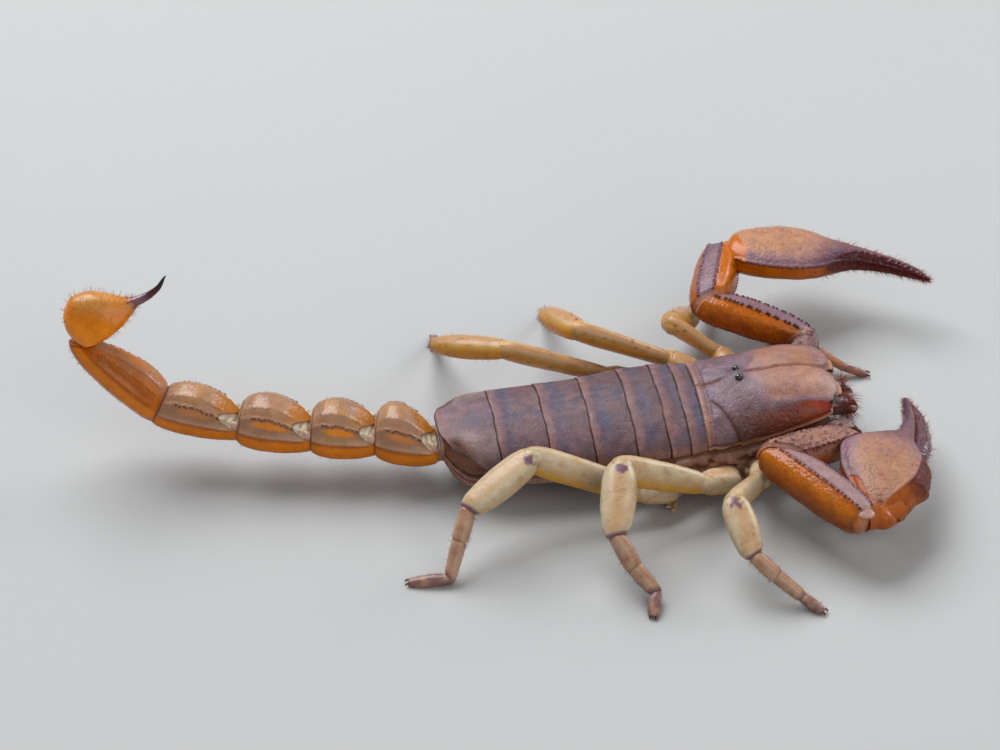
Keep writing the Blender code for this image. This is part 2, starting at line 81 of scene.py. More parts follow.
# Leg joints: coxa, trochanter, start of the femur, knee, shin end, ankle, heel, toe.
LEGS = {
    "right_1": ((25.6, -1.9, 2.7), (30.0, -7.4, 3.4), (31.4, -9.2, 3.8), (33.6, -14.0, 4.2),
                (36.8, -16.0, 2.1), (38.1, -15.2, 1.6), (39.2, -14.3, 0.9), (40.6, -13.0, 0.25)),
    "right_2": ((23.2, -2.0, 2.7), (26.3, -8.9, 3.8), (25.2, -11.8, 4.8), (20.5, -19.0, 8.0),
                (21.7, -24.5, 5.0), (23.8, -26.1, 3.2), (26.4, -27.8, 1.3), (28.4, -29.4, 0.25)),
    "right_3": ((20.6, -2.0, 2.7), (21.9, -9.8, 3.6), (18.8, -11.5, 4.8), (9.1, -13.1, 9.5),
                (7.5, -20.1, 6.0), (9.0, -22.3, 3.4), (11.0, -24.5, 1.3), (10.2, -27.2, 0.25)),
    "right_4": ((18.6, -2.0, 2.7), (15.2, -9.6, 2.9), (12.2, -10.4, 3.6), (-0.1, -9.6, 9.4),
                (-7.6, -13.7, 6.5), (-8.9, -15.7, 4.0), (-10.4, -18.0, 0.8), (-14.8, -17.4, 0.25)),
    "left_1": ((25.6, 1.9, 2.7), (30.0, 7.4, 3.4), (31.2, 9.2, 3.6), (32.2, 14.6, 3.6),
               (36.2, 13.2, 2.7), (38.2, 11.9, 1.9), (40.2, 10.6, 1.1), (42.6, 10.1, 0.25)),
    "left_2": ((23.2, 2.0, 2.7), (26.3, 8.9, 3.8), (25.4, 11.2, 4.5), (20.6, 15.1, 6.6),
               (24.0, 20.3, 3.5), (25.9, 23.3, 2.8), (27.4, 26.4, 1.2), (28.4, 28.8, 0.25)),
    "left_3": ((20.6, 2.0, 2.7), (22.0, 9.6, 3.6), (19.4, 11.2, 4.6), (9.1, 12.1, 9.3),
               (6.5, 18.2, 7.4), (7.0, 21.4, 4.9), (7.6, 24.8, 2.1), (8.0, 27.2, 0.25)),
    "left_4": ((18.6, 2.0, 2.7), (15.2, 9.6, 2.9), (12.4, 10.4, 3.8), (0.5, 10.7, 8.8),
               (-6.6, 16.0, 6.4), (-6.2, 19.0, 4.1), (-5.8, 22.2, 1.6), (-5.5, 25.2, 0.25)),
}
COXA_HALF = {"1": 1.3, "2": 1.75, "3": 2.05, "4": 2.5}
FEMUR_HALF = {"1": 1.1, "2": 1.4, "3": 1.7, "4": 1.7}
FEMUR_LEAN = 0.6
SHIN_HALF = {"1": 1.15, "2": 1.65, "3": 1.9, "4": 1.8}

# Pedipalp joints: coxa, trochanter, femur start, elbow, wrist, root of the hand, finger tips.
PALPS = {
    "right": ((31.0, -3.4, 4.4), (34.2, -6.2, 5.6), (35.6, -7.8, 6.2), (27.0, -11.9, 7.6),
              (34.4, -23.2, 6.6), (35.3, -21.6, 6.6), (43.6, -0.9, 4.4)),
    "left": ((31.0, 3.4, 4.4), (34.2, 7.2, 5.6), (35.0, 10.2, 6.4), (25.1, 16.0, 7.9),
             (28.5, 26.0, 8.0), (29.9, 27.1, 8.0), (50.6, 17.8, 7.1)),
}
PALP_UPS = {
    "right": {"femur": (0.0, -0.25, 1.0), "patella": (0.15, 0.17, 1.0), "hand": (0.1, -0.1, 1.0)},
    "left": {"femur": (0.0, 0.35, 1.0), "patella": (-0.3, 0.0, 1.0), "hand": (0.0, 0.2, 1.0)},
}
OUTWARD = {"right": -1, "left": 1}
HAND_ROWS = {"right": (
    # distance along the hand, half width, top, bottom, shift to the outer side
    (-1.5, 0.3, 0.2, 0.3, -1.1), (-1.3, 0.9, 0.7, 0.9, -1.1), (-0.6, 1.6, 1.2, 1.3, -1.3),
    (0.4, 2.2, 1.5, 1.5, -1.55), (1.3, 2.8, 1.8, 1.7, -1.4), (3.2, 3.7, 2.1, 2.0, -0.5),
    (5.4, 4.9, 2.2, 2.1, 0.3), (8.4, 5.15, 2.2, 2.1, 0.2), (10.4, 4.2, 2.1, 1.9, -0.3),
    (12.0, 2.8, 1.9, 1.7, 0.4), (13.2, 1.5, 1.7, 1.4, 1.2), (14.8, 0.95, 1.4, 1.0, 1.6),
    (17.5, 0.65, 1.1, 0.7, 1.6), (20.5, 0.42, 0.75, 0.5, 1.15), (22.6, 0.22, 0.4, 0.3, 0.6),
    (23.6, 0.06, 0.1, 0.1, 0.3),
), "left": (
    (-0.3, 0.4, 0.3, 0.3, -1.2), (-0.1, 1.6, 1.1, 1.1, -1.2), (0.3, 2.6, 1.7, 1.7, -1.2),
    (1.2, 3.5, 2.0, 2.0, -1.1), (3.2, 4.6, 2.2, 2.1, -0.6),
    (5.4, 5.15, 2.3, 2.1, 0.05), (8.4, 4.8, 2.2, 2.0, 0.55), (10.4, 3.75, 2.1, 1.8, 0.65),
    (12.0, 2.6, 1.9, 1.7, 1.3), (13.2, 1.75, 1.7, 1.5, 1.85), (14.8, 1.1, 1.5, 1.2, 2.2),
    (17.5, 0.8, 1.25, 0.9, 2.1), (20.5, 0.62, 0.9, 0.7, 1.6), (22.6, 0.4, 0.5, 0.4, 0.8),
    (23.6, 0.12, 0.15, 0.15, 0.35),
)}
FINGER_ROWS = {"right": (
    (9.4, 1.0, 1.1, 1.2, 3.2), (10.8, 1.2, 1.3, 1.5, 3.35), (12.6, 1.15, 1.25, 1.6, 3.45),
    (14.8, 0.95, 1.05, 1.5, 3.2), (17.8, 0.8, 0.85, 1.2, 2.7), (20.6, 0.6, 0.6, 0.9, 1.9),
    (22.4, 0.36, 0.4, 0.5, 1.05), (23.3, 0.1, 0.1, 0.12, 0.5),
), "left": (
    (9.4, 1.0, 1.1, 1.2, 3.0), (10.8, 1.1, 1.3, 1.5, 3.1), (12.6, 1.0, 1.25, 1.6, 3.2),
    (14.8, 0.85, 1.05, 1.5, 2.95), (17.8, 0.72, 0.85, 1.2, 2.65), (20.6, 0.58, 0.6, 0.9, 2.1),
    (22.4, 0.38, 0.4, 0.5, 1.3), (23.3, 0.1, 0.1, 0.12, 0.75),
)}
HAND_ARCH = {"right": 1.1, "left": 0.0}  # how far the fingers rise between root and tip
HAND_TUCK = {"right": (2.3, -0.2), "left": (0.0, 0.0)}  # outward shift at the wrist and the palm


# --- numbers -------------------------------------------------------------------------------------

def vec(values):
    return np.array(values, dtype=float)


def unit(values):
    """Vectors of the same directions, one long."""
    values = vec(values)
    return values / np.maximum(np.linalg.norm(values, axis=-1, keepdims=True), 1e-12)


def pigment(red, green, blue):
    """The pigment that, under this scene's lamps, looks like a screen colour of 0 to 255."""
    c = vec((red, green, blue)) / 255
    light = np.where(c <= 0.04045, c / 12.92, ((c + 0.055) / 1.055) ** 2.4)
    return np.clip(light * 0.9, 0.001, 1)


def smooth(low, high, value):
    """0 below low, 1 above high, an easy slope between; high may be the lower one."""
    x = np.clip((np.asarray(value, float) - low) / (high - low), 0.0, 1.0)
    return x * x * (3 - 2 * x)


def bell(value, middle, width):
    """1 at the middle, falling away to either side over about the width."""
    return np.exp(-(((value - middle) / width) ** 2))


def curve(knots, values, x):
    """A smooth curve through the points that doesn't overshoot them."""
    knots, values, x = vec(knots), vec(values), np.asarray(x, float)
    step = np.diff(knots)
    slope = np.diff(values) / step
    tangent = np.empty(len(knots))
    tangent[0], tangent[-1] = slope[0], slope[-1]
    safe = np.where(slope == 0, 1.0, slope)
    harmonic = 2.0 / (1 / safe[:-1] + 1 / safe[1:] + 1e-9)
    tangent[1:-1] = np.where(slope[:-1] * slope[1:] > 0, harmonic, 0.0)
    i = np.clip(np.searchsorted(knots, x, side="right") - 1, 0, len(step) - 1)
    s = np.clip((x - knots[i]) / step[i], 0.0, 1.0)
    return (values[i] * (1 + 2 * s) * (1 - s) ** 2 + tangent[i] * step[i] * s * (1 - s) ** 2
            + values[i + 1] * s * s * (3 - 2 * s) + tangent[i + 1] * step[i] * s * s * (s - 1))


def table(rows, x):
    """Every column of rows after the first, as smooth curves read at x."""
    rows = vec(rows)
    return [curve(rows[:, 0], rows[:, i], x) for i in range(1, rows.shape[1])]


def scrambled(cells, seed):
    """A steady random number from 0 to 1 for each whole-numbered cell of space."""
    cells = cells.astype(np.int64)
    n = cells[..., 0] * 73856093 ^ cells[..., 1] * 19349663 ^ cells[..., 2] * 83492791
    n = (n + seed * 374761393) & 0x7FFFFFFF
    n = ((n ^ (n >> 13)) * 1274126177) & 0x7FFFFFFF
    n = ((n ^ (n >> 15)) * 668265263) & 0x7FFFFFFF
    return (n ^ (n >> 16)) % 16777216 / 16777216


CORNERS = [vec((i, j, k)) for i in (0, 1) for j in (0, 1) for k in (0, 1)]
NEIGHBOURS = [vec((i, j, k)) for i in (-1, 0, 1) for j in (-1, 0, 1) for k in (-1, 0, 1)]


def noise(points, size, seed, octaves=1):
    """Cloudy noise from -1 to 1, whose largest blotches are about size across."""
    total, weight = 0.0, 0.0
    for octave in range(octaves):
        p = points * (2 ** octave / size) + 31.7 * octave
        cell = np.floor(p)
        f = p - cell
        f = f * f * (3 - 2 * f)
        value = 0.0
        for corner in CORNERS:
            share = np.prod(np.where(corner > 0, f, 1 - f), axis=-1)
            value = value + share * scrambled(cell + corner, seed + octave)
        total = total + (2 * value - 1) / 2 ** octave
        weight += 1 / 2 ** octave
    return total / weight


def grains(points, size, seed):
    """Close-set grains: the height, 0 in the seams to 1 on a grain, and a random number per grain."""
    p = points / size
    cell = np.floor(p)
    near = np.full(p.shape[:-1], 9.0)
    chance = np.zeros(p.shape[:-1])
    for step in NEIGHBOURS:
        home = cell + step
        shift = np.stack([scrambled(home, seed + k) for k in (1, 2, 3)], axis=-1)
        away = ((p - home - 0.15 - 0.7 * shift) ** 2).sum(axis=-1)
        closer = away < near
        near = np.where(closer, away, near)
        chance = np.where(closer, scrambled(home, seed + 4), chance)
    return np.clip(1 - 1.6 * near, 0.0, 1.0), chance


def pebbles(points, size, seed):
    """The height of close-set grains alone."""
    return grains(points, size, seed)[0]


# --- skins ---------------------------------------------------------------------------------------

class Shell:
    """A closed skin of rings: points[ring, side]. along and round hold each point's place on it."""

    def __init__(self, points, along, round_, colour, rough, grain=1.0):
        self.points = points
        self.along = np.broadcast_to(along, points.shape[:2]).copy()
        self.round = np.broadcast_to(round_, points.shape[:2]).copy()
        self.colour = np.broadcast_to(colour, points.shape).copy()
        self.rough = np.full(points.shape[:2], float(rough))
        self.grain = np.full(points.shape[:2], float(grain))

    def normals(self):
        """The outward direction at each point, from its neighbours along and round."""
        down = np.gradient(self.points, axis=0)
        over = np.roll(self.points, -1, axis=1) - np.roll(self.points, 1, axis=1)
        normal = unit(np.cross(over, down))
        centre = self.points.mean(axis=1, keepdims=True)
        outward = (normal * (self.points - centre)).sum() > 0
        return normal if outward else -normal

    def push(self, amount):
        """Moves the points outwards by an amount in millimetres."""
        self.points = self.points + self.normals() * np.asarray(amount)[..., None]

    def paint(self, colour, mask, rough=None, grain=None):
        """Moves colour, roughness and grain towards new ones where the mask is high."""
        mask = np.clip(np.broadcast_to(mask, self.along.shape), 0, 1)
        self.colour += (vec(colour) - self.colour) * mask[..., None]
        if rough is not None:
            self.rough += (rough - self.rough) * mask
        if grain is not None:
            self.grain += (grain - self.grain) * mask

    def coats(self, *layers):
        """Paints layer over layer, each given as (colour, mask[, roughness[, grain]])."""
        for layer in layers:
            self.paint(*layer)

    def mottle(self, size, amount, seed):
        """Lighter and darker clouds in the colour."""
        self.colour *= np.exp(amount * noise(self.points, size, seed, 3))[..., None]

    def knobs(self, places, radius, height):
        """Raises small round knobs at points of space, and returns how much of each point is knob."""
        raised = np.zeros(self.along.shape)
        for place in places:
            away = ((self.points - place) ** 2).sum(axis=-1) / radius ** 2
            raised = np.maximum(raised, np.exp(-1.5 * away))
        self.push(height * raised)
        return raised

    def finish(self, name, material, slot, *nodes):
        """Makes this skin alone into a piece of the scene."""
        Piece(name).add(self).finish(material, slot, *nodes)

    def at(self, along, angle):
        """The point of the skin nearest to a place along and round it."""
        gap = np.abs((self.round - angle + np.pi) % (2 * np.pi) - np.pi)
        row = np.abs(self.along[:, :1] - along).argmin()
        return self.points[row, gap[row].argmin()]

    def row_of_knobs(self, first, last, angle, count, radius, height, seed):
        """A row of knobs along the skin, a little uneven."""
        random = np.random.default_rng(seed)
        places = []
        for f in np.linspace(0, 1, count):
            f = f + random.uniform(-0.25, 0.25) / count
            places.append(self.at(first + (last - first) * f, angle + random.uniform(-0.03, 0.03)))
        return self.knobs(places, radius, height)


def superellipse(angle, power):
    """Across and up, from -1 to 1, on a section that grows squarer with the power."""
    cos, sin = np.cos(angle), np.sin(angle)
    return np.sign(cos) * np.abs(cos) ** (2 / power), np.sign(sin) * np.abs(sin) ** (2 / power)


def tube(start, end, up, rows, before=None, after=None, sides=56, rings=56, power=2.3, gap=0.0,
         colour=(0.5, 0.5, 0.5), rough=0.4, grain=1.0, dish=True):
    """A limb segment's skin between two joints, as in the solids, but smooth.

    rows are (fraction of the length, half width, top, bottom[, sideways shift, lift]). Its round
    runs from the side of cross(up, axis) over the top. The end rings lie in the planes that halve
    the bends at the joints. dish closes the ends with a hollow, like the rim of a real segment.
    """
    start, end = vec(start), vec(end)
    axis = unit(end - start)
    side = unit(np.cross(up, axis))
    up = np.cross(axis, side)
    length = np.linalg.norm(end - start)
    first = axis if before is None else unit(unit(start - vec(before)) + axis)
    last = axis if after is None else unit(unit(vec(after) - end) + axis)
    even = np.linspace(0, 1, rings)
    t = 0.6 * even + 0.2 * (1 - np.cos(np.pi * even))
    angle = 2 * np.pi * np.arange(sides) / sides
    across, over = superellipse(angle, power)
    rows = vec([(*row, 0.0, 0.0)[:6] for row in rows])
    width, top, bottom, shift, lift = (column[:, None] for column in table(rows, t))
    wide = width * across + shift
    high = np.where(over > 0, top, bottom) * over + lift
    offset = wide[..., None] * side + high[..., None] * up
    begin = gap / 2 - offset @ first / (axis @ first)
    finish = length - gap / 2 - offset @ last / (axis @ last)
    reach = begin + (finish - begin) * t[:, None]
    points = start + offset + reach[..., None] * axis
    if dish:
        for ring, inward, edge in ((0, axis, 0), (-1, -axis, 1)):
            middle = points[ring].mean(axis=0)
            spread = np.linalg.norm(points[ring] - middle, axis=1).mean()
            ends = [middle + (points[ring] - middle) * k + inward * (spread * d)
                    for k, d in ((0.95, 0.0), (0.86, 0.1), (0.7, 0.25), (0.3, 0.3))]
            if edge:
                points = np.concatenate([points, ends])
            else:
                points = np.concatenate([ends[::-1], points])
        t = np.concatenate([np.zeros(4), t, np.ones(4)])
    return Shell(points, t[:, None], angle[None, :], colour, rough, grain)


def from_top(shell):
    """How far round each point lies from the top of its section, 0 to pi, the same on both sides."""
    return np.abs((shell.round - np.pi / 2 + np.pi) % (2 * np.pi) - np.pi)


def bulging(half, rows):
    """Rows for tube() from rows given as shares of a half width."""
    return [(row[0], *(half * value for value in row[1:4])) for row in rows]


def plate(front, rear, section, relief, outer, thick, rough, columns=150):
    """A curved shield over the back: its upper face, rolled rims and under face, as one skin.

    front and rear give the x of each edge at a place across, -1 to 1. section(x) gives half width,
    top and margin height, and relief(s, across) the height of the upper face's forms, with s from
    0 at the front edge to 1 at the rear. outer is how many rows of points the upper face has.
    Returned: the Shell, s and across of every point, and which points are on the upper face.
    """
    theta = np.linspace(np.pi, 0.0, columns)[:, None]
    across = superellipse(theta, ARCH_POWER)[0]
    inner = 10  # rows of points on the under face
    lip = np.linspace(0, np.pi, 6)[1:-1]
    s = np.concatenate([np.linspace(0, 1, outer), 1 + 0 * lip, np.linspace(1, 0, inner), 0 * lip])
    depth = np.concatenate([np.zeros(outer), (1 - np.cos(lip)) / 2, np.ones(inner),
                            (1 + np.cos(lip)) / 2]) * thick
    bulge = np.concatenate([np.zeros(outer), np.sin(lip), np.zeros(inner), -np.sin(lip)])
    s, depth, bulge = s[None, :], depth[None, :], bulge[None, :]

    def surface(s, theta):
        across, over = superellipse(theta, ARCH_POWER)
        x = front(across) + (rear(across) - front(across)) * s
        width, top, margin = section(x)
        height = margin + (top - margin) * np.abs(over)
        return np.stack(np.broadcast_arrays(x, width * across, height), axis=-1)

    base = surface(s, theta)
    tiny = 1e-3
    ds = surface(s + tiny, theta) - surface(s - tiny, theta)
    inside = np.clip(theta, 0.02, np.pi - 0.02)
    dt = surface(s, inside - 0.01) - surface(s, inside + 0.01)
    normal = unit(np.cross(ds, dt))
    normal = np.where(normal[..., 2:] < 0, -normal, normal)
    upper = (depth < 1e-6) * np.ones_like(theta)
    forms = relief(s, across * np.ones_like(s))
    points = base + normal * (forms - depth)[..., None]
    points[..., 0] += bulge * thick / 2 * np.sign(rear(0.0) - front(0.0))
    shell = Shell(points, s, theta, DUSK, rough)
    return shell, s * np.ones_like(theta), across * np.ones_like(s), upper


class Piece:
    """Skins joined into one mesh of the scene."""

    def __init__(self, name):
        self.name = name
        self.points, self.quads, self.fans, self.tint, self.rough, self.grain = [], [], [], [], [], []
        self.count = 0

    def add(self, shell):
        """Adds a skin, closed with a fan at each end and facing outwards."""
        rings, sides = shell.points.shape[:2]
        index = np.arange(rings * sides).reshape(rings, sides)
        ahead = np.roll(index, -1, axis=1)
        quads = np.stack([index[:-1], ahead[:-1], ahead[1:], index[1:]], axis=-1).reshape(-1, 4)
        first, last = rings * sides, rings * sides + 1
        fans = np.concatenate([
            np.stack([ahead[0], index[0], np.full(sides, first)], axis=-1),
            np.stack([index[-1], ahead[-1], np.full(sides, last)], axis=-1),
        ])
        points = np.concatenate([shell.points.reshape(-1, 3), shell.points[:1].mean(axis=1),
                                 shell.points[-1:].mean(axis=1)])
        a, b, c, d = (points[quads[:, i]] for i in range(4))
        if (a * np.cross(b, c) + a * np.cross(c, d)).sum() < 0:
            quads, fans = quads[:, ::-1], fans[:, ::-1]
        self.points.append(points)
        self.quads.append(quads + self.count)
        self.fans.append(fans + self.count)
        for store, values in ((self.tint, shell.colour), (self.rough, shell.rough[..., None]),
                              (self.grain, shell.grain[..., None])):
            flat = values.reshape(rings * sides, -1)
            store.append(np.concatenate([flat, flat[:1], flat[-1:]]))
        self.count += len(points)
        return self

    def finish(self, material, slot, *nodes):
        faces = np.concatenate(self.quads).tolist() + np.concatenate(self.fans).tolist()
        points, tint, rough, grain = (np.concatenate(values) for values in (
            self.points, self.tint, self.rough, self.grain))
        mesh = skin_mesh(self.name, points, faces, tint, rough, grain, material)
        settle(self.name, mesh, slot, *nodes)


def skin_mesh(name, points, faces, tint, rough, grain, material):
    """A smooth mesh with the three attributes that the materials read at each point."""
    mesh = bpy.data.meshes.new(name)
    mesh.from_pydata(to_frame(points).tolist(), [], faces)
    mesh.shade_smooth()
    tint = np.c_[tint, np.ones(len(tint))]
    for attribute, kind, field, values in (("tint", "FLOAT_COLOR", "color", tint),
                                           ("rough", "FLOAT", "value", rough),
                                           ("grain", "FLOAT", "value", grain)):
        mesh.attributes.new(attribute, kind, "POINT").data.foreach_set(field, values.ravel())
    mesh.materials.append(material)
    return mesh


def put_in_scene(made):
    """Links an object, and hands it back."""
    bpy.context.scene.collection.objects.link(made)
    return made


def settle(name, mesh, slot, *nodes):
    """Puts a finished mesh in the scene, on the body, in place of the solids that it stands for."""
    made = put_in_scene(bpy.data.objects.new(name, mesh))
    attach(made, "root")
    if nodes:
        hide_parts(*nodes)


def frame_origin():
    """Where the animal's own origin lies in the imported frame: an eye's place tells it."""
    low, high = (vec(corner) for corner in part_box("eye_right"))
    middle = (low + high) / 2
    return vec((middle[0] - EYE_X * MM, middle[1] + EYE_SIDE * MM, 0.0))


ORIGIN = frame_origin()


def to_frame(points):
    """Millimetres in the animal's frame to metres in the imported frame."""
    return vec(points) * MM + ORIGIN


# --- colours, as daylight shows them --------------------------------------------------------------

# LILAC, the grey lilac of the upper faces, is partly the cuticle's own bloom and partly a painted
# reflection of the sky.
LILAC = pigment(132, 102, 113)
SLATE = pigment(76, 76, 98)
DUSK = pigment(100, 75, 74)
PINK = pigment(146, 104, 94)
TAN = pigment(178, 124, 90)
UMBER = pigment(86, 46, 32)
RUST = pigment(134, 50, 12)
EMBER = pigment(150, 44, 0)
MAROON = pigment(72, 20, 22)
SEAM = pigment(48, 18, 12)
AMBER = pigment(190, 98, 2)
GOLD = pigment(244, 140, 3)
DEEP_AMBER = pigment(146, 66, 0)
FAWN = pigment(168, 128, 88)
HONEY = pigment(188, 146, 80)
IVORY = pigment(204, 190, 162)
CREAM = pigment(186, 156, 116)
YELLOW = pigment(190, 136, 26)
PLUM = pigment(96, 58, 88)
BLUSH = pigment(206, 168, 148)
SHELL_PINK = pigment(176, 126, 100)
FLESH = pigment(180, 146, 116)
BLACK = pigment(14, 13, 18)


# --- materials -----------------------------------------------------------------------------------

def cuticle(name, speck, speck_depth, bump, coat, coat_rough, flesh=0.0):
    """Horny skin: colour, roughness and grain come from the mesh, fine speckle and pits from here.

    speck is the size of the pits in millimetres and bump their depth; speck_depth is how far they
    darken the colour, and flesh how much light passes under the skin.
    """
    material = bpy.data.materials.new(name)
    material.use_nodes = True
    nodes, links = material.node_tree.nodes, material.node_tree.links
    shader = nodes["Principled BSDF"]
    place = nodes.new("ShaderNodeTexCoord").outputs["Object"]

    def texture(kind, size, **inputs):
        node = nodes.new(kind)
        node.inputs["Scale"].default_value = 1 / (size * MM)
        for socket, value in inputs.items():
            node.inputs[socket].default_value = value
        links.new(place, node.inputs["Vector"])
        return node

    def read(attribute):
        node = nodes.new("ShaderNodeAttribute")
        node.attribute_name = attribute
        return node

    def maths(operation, first, second):
        node = nodes.new("ShaderNodeMath")
        node.operation = operation
        for socket, value in zip(node.inputs, (first, second)):
            if isinstance(value, (int, float)):
                socket.default_value = value
            else:
                links.new(value, socket)
        return node.outputs[0]

    clouds = texture("ShaderNodeTexNoise", 6 * speck, Detail=4.0)
    cells = texture("ShaderNodeTexVoronoi", speck)
    shade = maths("ADD", maths("MULTIPLY", clouds.outputs["Fac"], 2 * speck_depth), 1 - speck_depth)
    shade = maths("MULTIPLY", shade, maths("ADD", maths("MULTIPLY", cells.outputs["Distance"],
                                                        -speck_depth), 1 + 0.3 * speck_depth))
    tinted = nodes.new("ShaderNodeVectorMath")
    tinted.operation = "SCALE"
    links.new(read("tint").outputs["Color"], tinted.inputs[0])
    links.new(shade, tinted.inputs["Scale"])
    links.new(tinted.outputs[0], shader.inputs["Base Color"])
    patchy = maths("ADD", maths("MULTIPLY", clouds.outputs["Fac"], 0.16), -0.08)
    links.new(maths("ADD", read("rough").outputs["Fac"], patchy), shader.inputs["Roughness"])
    relief = nodes.new("ShaderNodeBump")
    relief.inputs["Distance"].default_value = bump * MM
    height = maths("SUBTRACT", clouds.outputs["Fac"], cells.outputs["Distance"])
    links.new(height, relief.inputs["Height"])
    links.new(read("grain").outputs["Fac"], relief.inputs["Strength"])
    links.new(relief.outputs[0], shader.inputs["Normal"])
    shader.inputs["Specular IOR Level"].default_value = 0.22
    shader.inputs["Coat Weight"].default_value = coat
    shader.inputs["Coat Roughness"].default_value = coat_rough
    if flesh:
        shader.inputs["Subsurface Weight"].default_value = flesh
        shader.inputs["Subsurface Radius"].default_value = (1.0, 0.45, 0.2)
        shader.inputs["Subsurface Scale"].default_value = 0.6 * MM
    return material


SHIELD = cuticle("head_shield_cuticle", 0.17, 0.4, 0.035, 0.08, 0.3)
PLATES = cuticle("back_plate_cuticle", 0.16, 0.5, 0.03, 0.04, 0.3)
CLAW = cuticle("claw_cuticle", 0.2, 0.35, 0.03, 0.12, 0.22)
TAIL = cuticle("tail_cuticle", 0.2, 0.2, 0.015, 0.1, 0.2, flesh=0.08)
LIMB = cuticle("leg_cuticle", 0.22, 0.15, 0.012, 0.15, 0.25, flesh=0.18)
TIPS = cuticle("dark_tip_cuticle", 0.14, 0.3, 0.02, 0.6, 0.12)
MEMBRANE = cuticle("joint_membrane", 0.3, 0.3, 0.03, 0.15, 0.35, flesh=0.2)
LENS = cuticle("eye_lens", 0.3, 0.05, 0.0, 1.0, 0.03)
HAIR = cuticle("bristle", 0.5, 0.1, 0.0, 0.2, 0.3)


# --- bristles ------------------------------------------------------------------------------------

class Bristles:
    """Fine hairs: each is a thin three-sided spike that bends once on its way to the tip."""

    TUFT = 0.003  # size on the map of the patch that one hair takes

    def __init__(self, name, seed):
        self.name, self.random = name, np.random.default_rng(seed)
        self.points, self.maps, self.tint = [], [], []

    def plant(self, shell, where, count, length, lean, colour, room, thick, spread=0.25):
        """Plants hairs on a shell, thickest where the mask where is high.

        lean is the way that they bend, and room = (u, v, width, height) the shell's place on the map.
        """
        normals = shell.normals()
        weight = np.broadcast_to(where, shell.along.shape).astype(float).ravel()
        picks = self.random.choice(weight.size, size=count, p=weight / weight.sum())
        root = shell.points.reshape(-1, 3)[picks] + self.random.normal(0, 0.04, (count, 3))
        out = normals.reshape(-1, 3)[picks]
        way = unit(out + vec(lean) + self.random.normal(0, spread, (count, 3)))
        long = (length * self.random.uniform(0.5, 1.15, count))[:, None]
        sideways = unit(np.cross(way, self.random.normal(0, 1, (count, 3))))
        across = np.cross(way, sideways)
        bend = unit(way + 0.5 * vec(lean) + self.random.normal(0, 0.12, (count, 3)))
        rings = []
        for reach, wide in ((0.0, 1.0), (0.5, 0.7)):
            middle = root - 0.06 * out + way * long * reach
            for turn in 2 * np.pi * np.arange(3) / 3:
                rings.append(middle + thick * wide * (np.cos(turn) * sideways
                                                      + np.sin(turn) * across))
        rings.append(root + way * long * 0.5 + bend * long * 0.5)
        self.points.append(np.stack(rings, axis=1))
        u, v, wide, high = room
        place = np.stack([u + wide * shell.along.ravel()[picks],
                          v + high * (shell.round.ravel()[picks] / (2 * np.pi) % 1)], axis=1)
        spot = vec([(0, 0), (1, 0), (0.5, 1), (0, 0.5), (1, 0.5), (0.5, 0.5), (0.5, 1)])
        self.maps.append(place[:, None] + self.TUFT * spot)
        shade = vec(colour) * np.exp(self.random.normal(0, 0.25, (count, 1)))
        self.tint.append(np.repeat(shade[:, None], 7, axis=1))

    def finish(self, slot):
        points = np.concatenate(self.points)
        hair = [(0, 1, 4, 3), (1, 2, 5, 4), (2, 0, 3, 5), (3, 4, 6), (4, 5, 6), (5, 3, 6), (2, 1, 0)]
        faces = [tuple(7 * number + corner for corner in face)
                 for number in range(len(points)) for face in hair]
        tint = np.concatenate(self.tint).reshape(-1, 3)
        rough, grain = np.full(len(tint), 0.4), np.zeros(len(tint))
        mesh = skin_mesh(self.name, points.reshape(-1, 3), faces, tint, rough, grain, HAIR)
        maps = np.concatenate(self.maps).reshape(-1, 2)
        corner = np.empty(len(mesh.loops), dtype=np.int32)
        mesh.loops.foreach_get("vertex_index", corner)
        unwrap = mesh.uv_layers.new(name="OFBake")
        unwrap.data.foreach_set("uv", np.clip(maps[corner], 0, 1).ravel())
        settle(self.name, mesh, slot)


# --- trunk ---------------------------------------------------------------------------------------

def trunk_at(x):
    """Half width, top and margin height of the trunk at x."""
    return table(TRUNK, x)


def carapace_at(x):
    """Half width, top and margin height of the head shield at x."""
    return table(CARAPACE, x)


TUCK = 0.7  # how far the front of each back plate reaches under the plate before it


